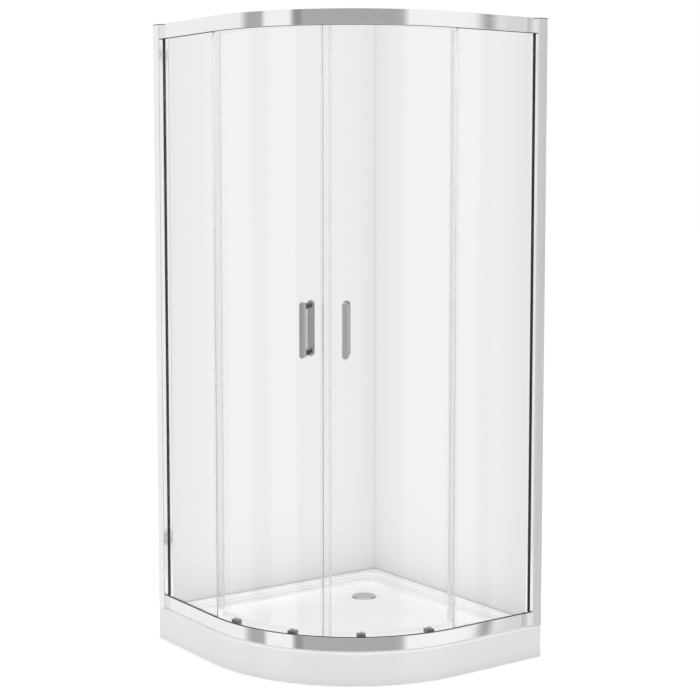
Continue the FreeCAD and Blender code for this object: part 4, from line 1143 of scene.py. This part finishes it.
def seen_straight(tree):
    """1 for a ray that comes to the lens from here directly or through glass, and 0 for others."""
    path = add_node(tree, "ShaderNodeLightPath")
    return math_node(tree, "MAXIMUM", path.outputs["Is Camera Ray"], path.outputs["Is Transmission Ray"])


def mirrors_past(tree, count):
    """1 for a ray that has met more mirrors than the count on its way here, and 0 for others."""
    path = add_node(tree, "ShaderNodeLightPath")
    return math_node(tree, "GREATER_THAN", path.outputs["Glossy Depth"], count + 0.5)


def after_mirror(tree):
    """1 for a ray that has met a mirror on its way here and isn't a diffuse one, and 0 for others."""
    path = add_node(tree, "ShaderNodeLightPath")
    sharp = math_node(tree, "SUBTRACT", 1, path.outputs["Is Diffuse Ray"])
    return math_node(tree, "MULTIPLY", mirrors_past(tree, 0), sharp)


# %% World


def make_world():
    """Mirrors see the bands by compass direction, the lens sees white, and the rest even light."""
    world = bpy.data.worlds.new("studio")
    world.use_nodes = True
    tree = world.node_tree
    tree.nodes.clear()
    place = add_node(tree, "ShaderNodeTexCoord")
    split = add_node(tree, "ShaderNodeSeparateXYZ")
    join(tree, place.outputs["Generated"], split.inputs[0])
    compass = math_node(tree, "ARCTAN2", split.outputs["Y"], split.outputs["X"])
    degrees = math_node(tree, "DEGREES", compass)
    wide = grey_ramp(tree, math_node(tree, "MULTIPLY_ADD", degrees, 1 / 360, 0.5),
                     [(angle / 360 + 0.5, brightness) for angle, brightness in bands])
    span = FINE_LAST - FINE_FIRST
    fine = grey_ramp(tree, math_node(tree, "MULTIPLY_ADD", degrees, 1 / span, -FINE_FIRST / span),
                     [((angle - FINE_FIRST) / span, brightness) for angle, brightness in fine_bands])
    in_fine = math_node(tree, "COMPARE", degrees, (FINE_FIRST + FINE_LAST) / 2, span / 2)
    around = mix_colours(tree, in_fine, wide, fine)
    steep = math_node(tree, "ABSOLUTE", split.outputs["Z"])
    in_dark = math_node(tree, "MULTIPLY", math_node(tree, "COMPARE", degrees, DARK_MIDDLE, DARK_HALF),
                        math_node(tree, "LESS_THAN", steep, DARK_RISE))
    mirrored = mix_colours(tree, in_dark, around, DARK_GREY)
    mirrored = add_zone(tree, split.outputs["Z"], RING, mirrored)
    mirrored = add_zone(tree, split.outputs["Z"], GROUND, mirrored)
    mirrored = add_zone(tree, steep, CAP, mirrored)
    mirrored = mix_colours(tree, mirrors_past(tree, 1), mirrored, TWICE_MIRRORED)
    above = math_node(tree, "MAXIMUM", split.outputs["Z"], 0.0)
    sky = mix_colours(tree, above, SKY_LOW, SKY_HIGH)
    straight = mix_colours(tree, seen_straight(tree), sky, 1.0)
    background = add_node(tree, "ShaderNodeBackground")
    join(tree, mix_colours(tree, after_mirror(tree), straight, mirrored), background.inputs["Color"])
    output = add_node(tree, "ShaderNodeOutputWorld")
    join(tree, background.outputs["Background"], output.inputs["Surface"])
    bpy.context.scene.world = world


make_world()
print("bands", len(bands) + len(fine_bands))

# %% [markdown]
# ## Floor and walls
# The floor is pale and plain. The enclosure only makes sense in a corner, so two pale cards
# stand where the room's walls would be. Each card shows only from the front: seen from behind,
# rays pass through it, so the sides and the back of the object show. They are backdrops, not
# pieces.

# %% Floor
FLOOR_GREY = 0.7
FLOOR_GLOW = 0.34
FLOOR_REACH = 30.0


def make_backdrop(name, points, faces, material):
    """A surface of the stage, which mirrors don't see."""
    mesh = bpy.data.meshes.new(name)
    mesh.from_pydata(np.reshape(points, (-1, 3)).tolist(), [], faces)
    mesh.materials.append(material)
    backdrop = bpy.data.objects.new(name, mesh)
    backdrop.visible_glossy = False
    bpy.context.scene.collection.objects.link(backdrop)
    return backdrop


def make_floor():
    """A white floor that keeps the shadow: diffuse, with a little glow for the lens alone."""
    material, tree, shader = new_finish("floor_white", (FLOOR_GREY,) * 3, 0.9)
    glow = add_node(tree, "ShaderNodeEmission")
    join(tree, math_node(tree, "MULTIPLY", seen_straight(tree), FLOOR_GLOW), glow.inputs["Strength"])
    both = add_node(tree, "ShaderNodeAddShader")
    join(tree, shader.outputs["BSDF"], both.inputs[0])
    join(tree, glow.outputs["Emission"], both.inputs[1])
    show_mix(tree, after_mirror(tree), both.outputs["Shader"], see_through(tree))
    corners = FLOOR_REACH * np.array([(-1, -1, 0), (1, -1, 0), (1, 1, 0), (-1, 1, 0)])
    return make_backdrop("floor", corners, [(0, 1, 2, 3)], material)


floor = make_floor()
print("floor", floor.name)

# %% [markdown]
# A card's front is white paint, and what the lens sees of it glows smoothly, because the lamps alone
# would leave streaks on it. On that glow is painted shade: it darkens into the corner, towards the
# open ends and down to the tray, as a white wall behind glass lies in shade there, with greys set by
# comparing the panes with the photograph. Its upper edge hides behind the top rail.

# %% Wall cards
CARD_COLUMNS = 41
CARD_LIGHT = 1.03
wall = half_side - 1 * MM
card_end = 430 * MM
below_rim = 10 * MM
behind_rail = 20 * MM
# Pairs of the distance from the corner in metres and the brightness there: painted shade, darker in the
# corner and at the open end.
card_painted_shade_by_distance = [(0.0, 0.73), (0.012, 0.80), (0.06, 0.83), (0.12, 0.855), (0.3, 0.87), (0.62, 0.87),
             (0.88, 0.76)]
# Pairs of the depth of painted shade at the tray and the height over which that fades.
card_painted_shade_at_tray = [(0.24, 80 * MM), (0.3, 4 * MM)]


def card_top(x, y):
    """The height at which a wall point hides behind the middle of the top rail, from the lens."""
    eye = np.array(camera.location)
    angles = np.radians(np.linspace(-90, 0, 181))
    reach = front_radius - rail_offset
    rail = np.concatenate([
        np.stack([np.linspace(-half_side, arc_x, 60), np.full(60, -half_side + rail_offset)], -1),
        np.stack([arc_x + reach * np.cos(angles), arc_y + reach * np.sin(angles)], -1),
        np.stack([np.full(60, half_side - rail_offset), np.linspace(arc_y, half_side, 60)], -1)])
    bearing = np.arctan2(*(rail - eye[:2]).T[::-1]) % (2 * np.pi)
    slope = (top_z - behind_rail - eye[2]) / np.linalg.norm(rail - eye[:2], axis=1)
    target = np.stack([x, y], -1) - eye[:2]
    at = np.arctan2(target[:, 1], target[:, 0]) % (2 * np.pi)
    order = np.argsort(bearing)
    return eye[2] + np.interp(at, bearing[order], slope[order]) * np.linalg.norm(target, axis=1)


def make_card(name, start, end):
    """An upright card from the rim to the height that the top rail hides."""
    share = np.linspace(0, 1, CARD_COLUMNS)
    x = start[0] + share * (end[0] - start[0])
    y = start[1] + share * (end[1] - start[1])
    low = np.column_stack([x, y, np.full(CARD_COLUMNS, rim_z - below_rim)])
    high = np.column_stack([x, y, card_top(x, y)])
    faces = grid_faces(2, CARD_COLUMNS)[:, ::-1].tolist()
    return make_backdrop(name, np.concatenate([low, high]), faces, card_painted_shade_finish)


def make_card_finish():
    """White paint in front, clear from behind. The lens sees a glow with painted shade in it: a ramp of
    the distance from the corner, times 1 minus the sum of depth * exp(-height / reach) over the shades at
    the tray."""
    material, tree, shader = new_finish("card_white_painted_shade", (0.86, 0.86, 0.86), 0.9)
    place = add_node(tree, "ShaderNodeTexCoord")
    split = add_node(tree, "ShaderNodeSeparateXYZ")
    join(tree, place.outputs["Object"], split.inputs[0])
    distance = math_node(tree, "SUBTRACT", split.outputs["X"], split.outputs["Y"])
    distance = math_node(tree, "ADD", distance, 2 * wall)
    # Painted shade: the glow darkens into the corner and towards the open ends.
    fall = grey_ramp(tree, distance, [(metres, CARD_LIGHT * seen) for metres, seen in card_painted_shade_by_distance])
    height = math_node(tree, "SUBTRACT", split.outputs["Z"], rim_z)
    # Painted shade: the glow's strength falls towards the tray.
    painted_shade_strength = 1.0
    for depth, reach in card_painted_shade_at_tray:
        near = math_node(tree, "EXPONENT", math_node(tree, "MULTIPLY", height, -1 / reach))
        painted_shade_strength = math_node(tree, "SUBTRACT", painted_shade_strength, math_node(tree, "MULTIPLY", near, depth))
    glow = add_node(tree, "ShaderNodeEmission")
    join(tree, fall, glow.inputs["Color"])
    join(tree, painted_shade_strength, glow.inputs["Strength"])
    lit = mix_shaders(tree, seen_straight(tree), shader.outputs["BSDF"], glow.outputs["Emission"])
    side = add_node(tree, "ShaderNodeNewGeometry")
    open_to = math_node(tree, "MAXIMUM", side.outputs["Backfacing"], after_mirror(tree))
    show_mix(tree, open_to, lit, see_through(tree))
    return material


card_painted_shade_finish = make_card_finish()
cards = [make_card("left_card", (-wall, -card_end), (-wall, wall)),
         make_card("right_card", (-wall, wall), (card_end, wall))]
print("cards", [card.name for card in cards])

# %% [markdown]
# ## Lamps
# One large soft lamp stands in front, high up, and a small one hangs over the tray to brighten its
# basin. They light the object but show in nothing: what metal mirrors is the world's bands.

# %% Lamps


def make_lamp(name, power, size, place, target):
    """A soft square lamp that lights the object and shows in nothing."""
    data = bpy.data.lights.new(name, "AREA")
    data.energy = power
    data.size = size
    lamp = bpy.data.objects.new(name, data)
    lamp.location = place
    lamp.rotation_euler = (Vector(place) - Vector(target)).to_track_quat("Z", "Y").to_euler()
    lamp.visible_camera = False
    lamp.visible_glossy = False
    lamp.visible_transmission = False
    bpy.context.scene.collection.objects.link(lamp)
    return lamp


lamps = [make_lamp("front_lamp", 18, 3.0, (1.5, -3.0, 4.5), (0, 0, 0.9)),
         make_lamp("ceiling_lamp", 21, 0.7, (-0.1, 0.1, 2.5), (-0.1, 0.1, 0))]
print("lamps", [lamp.name for lamp in lamps])
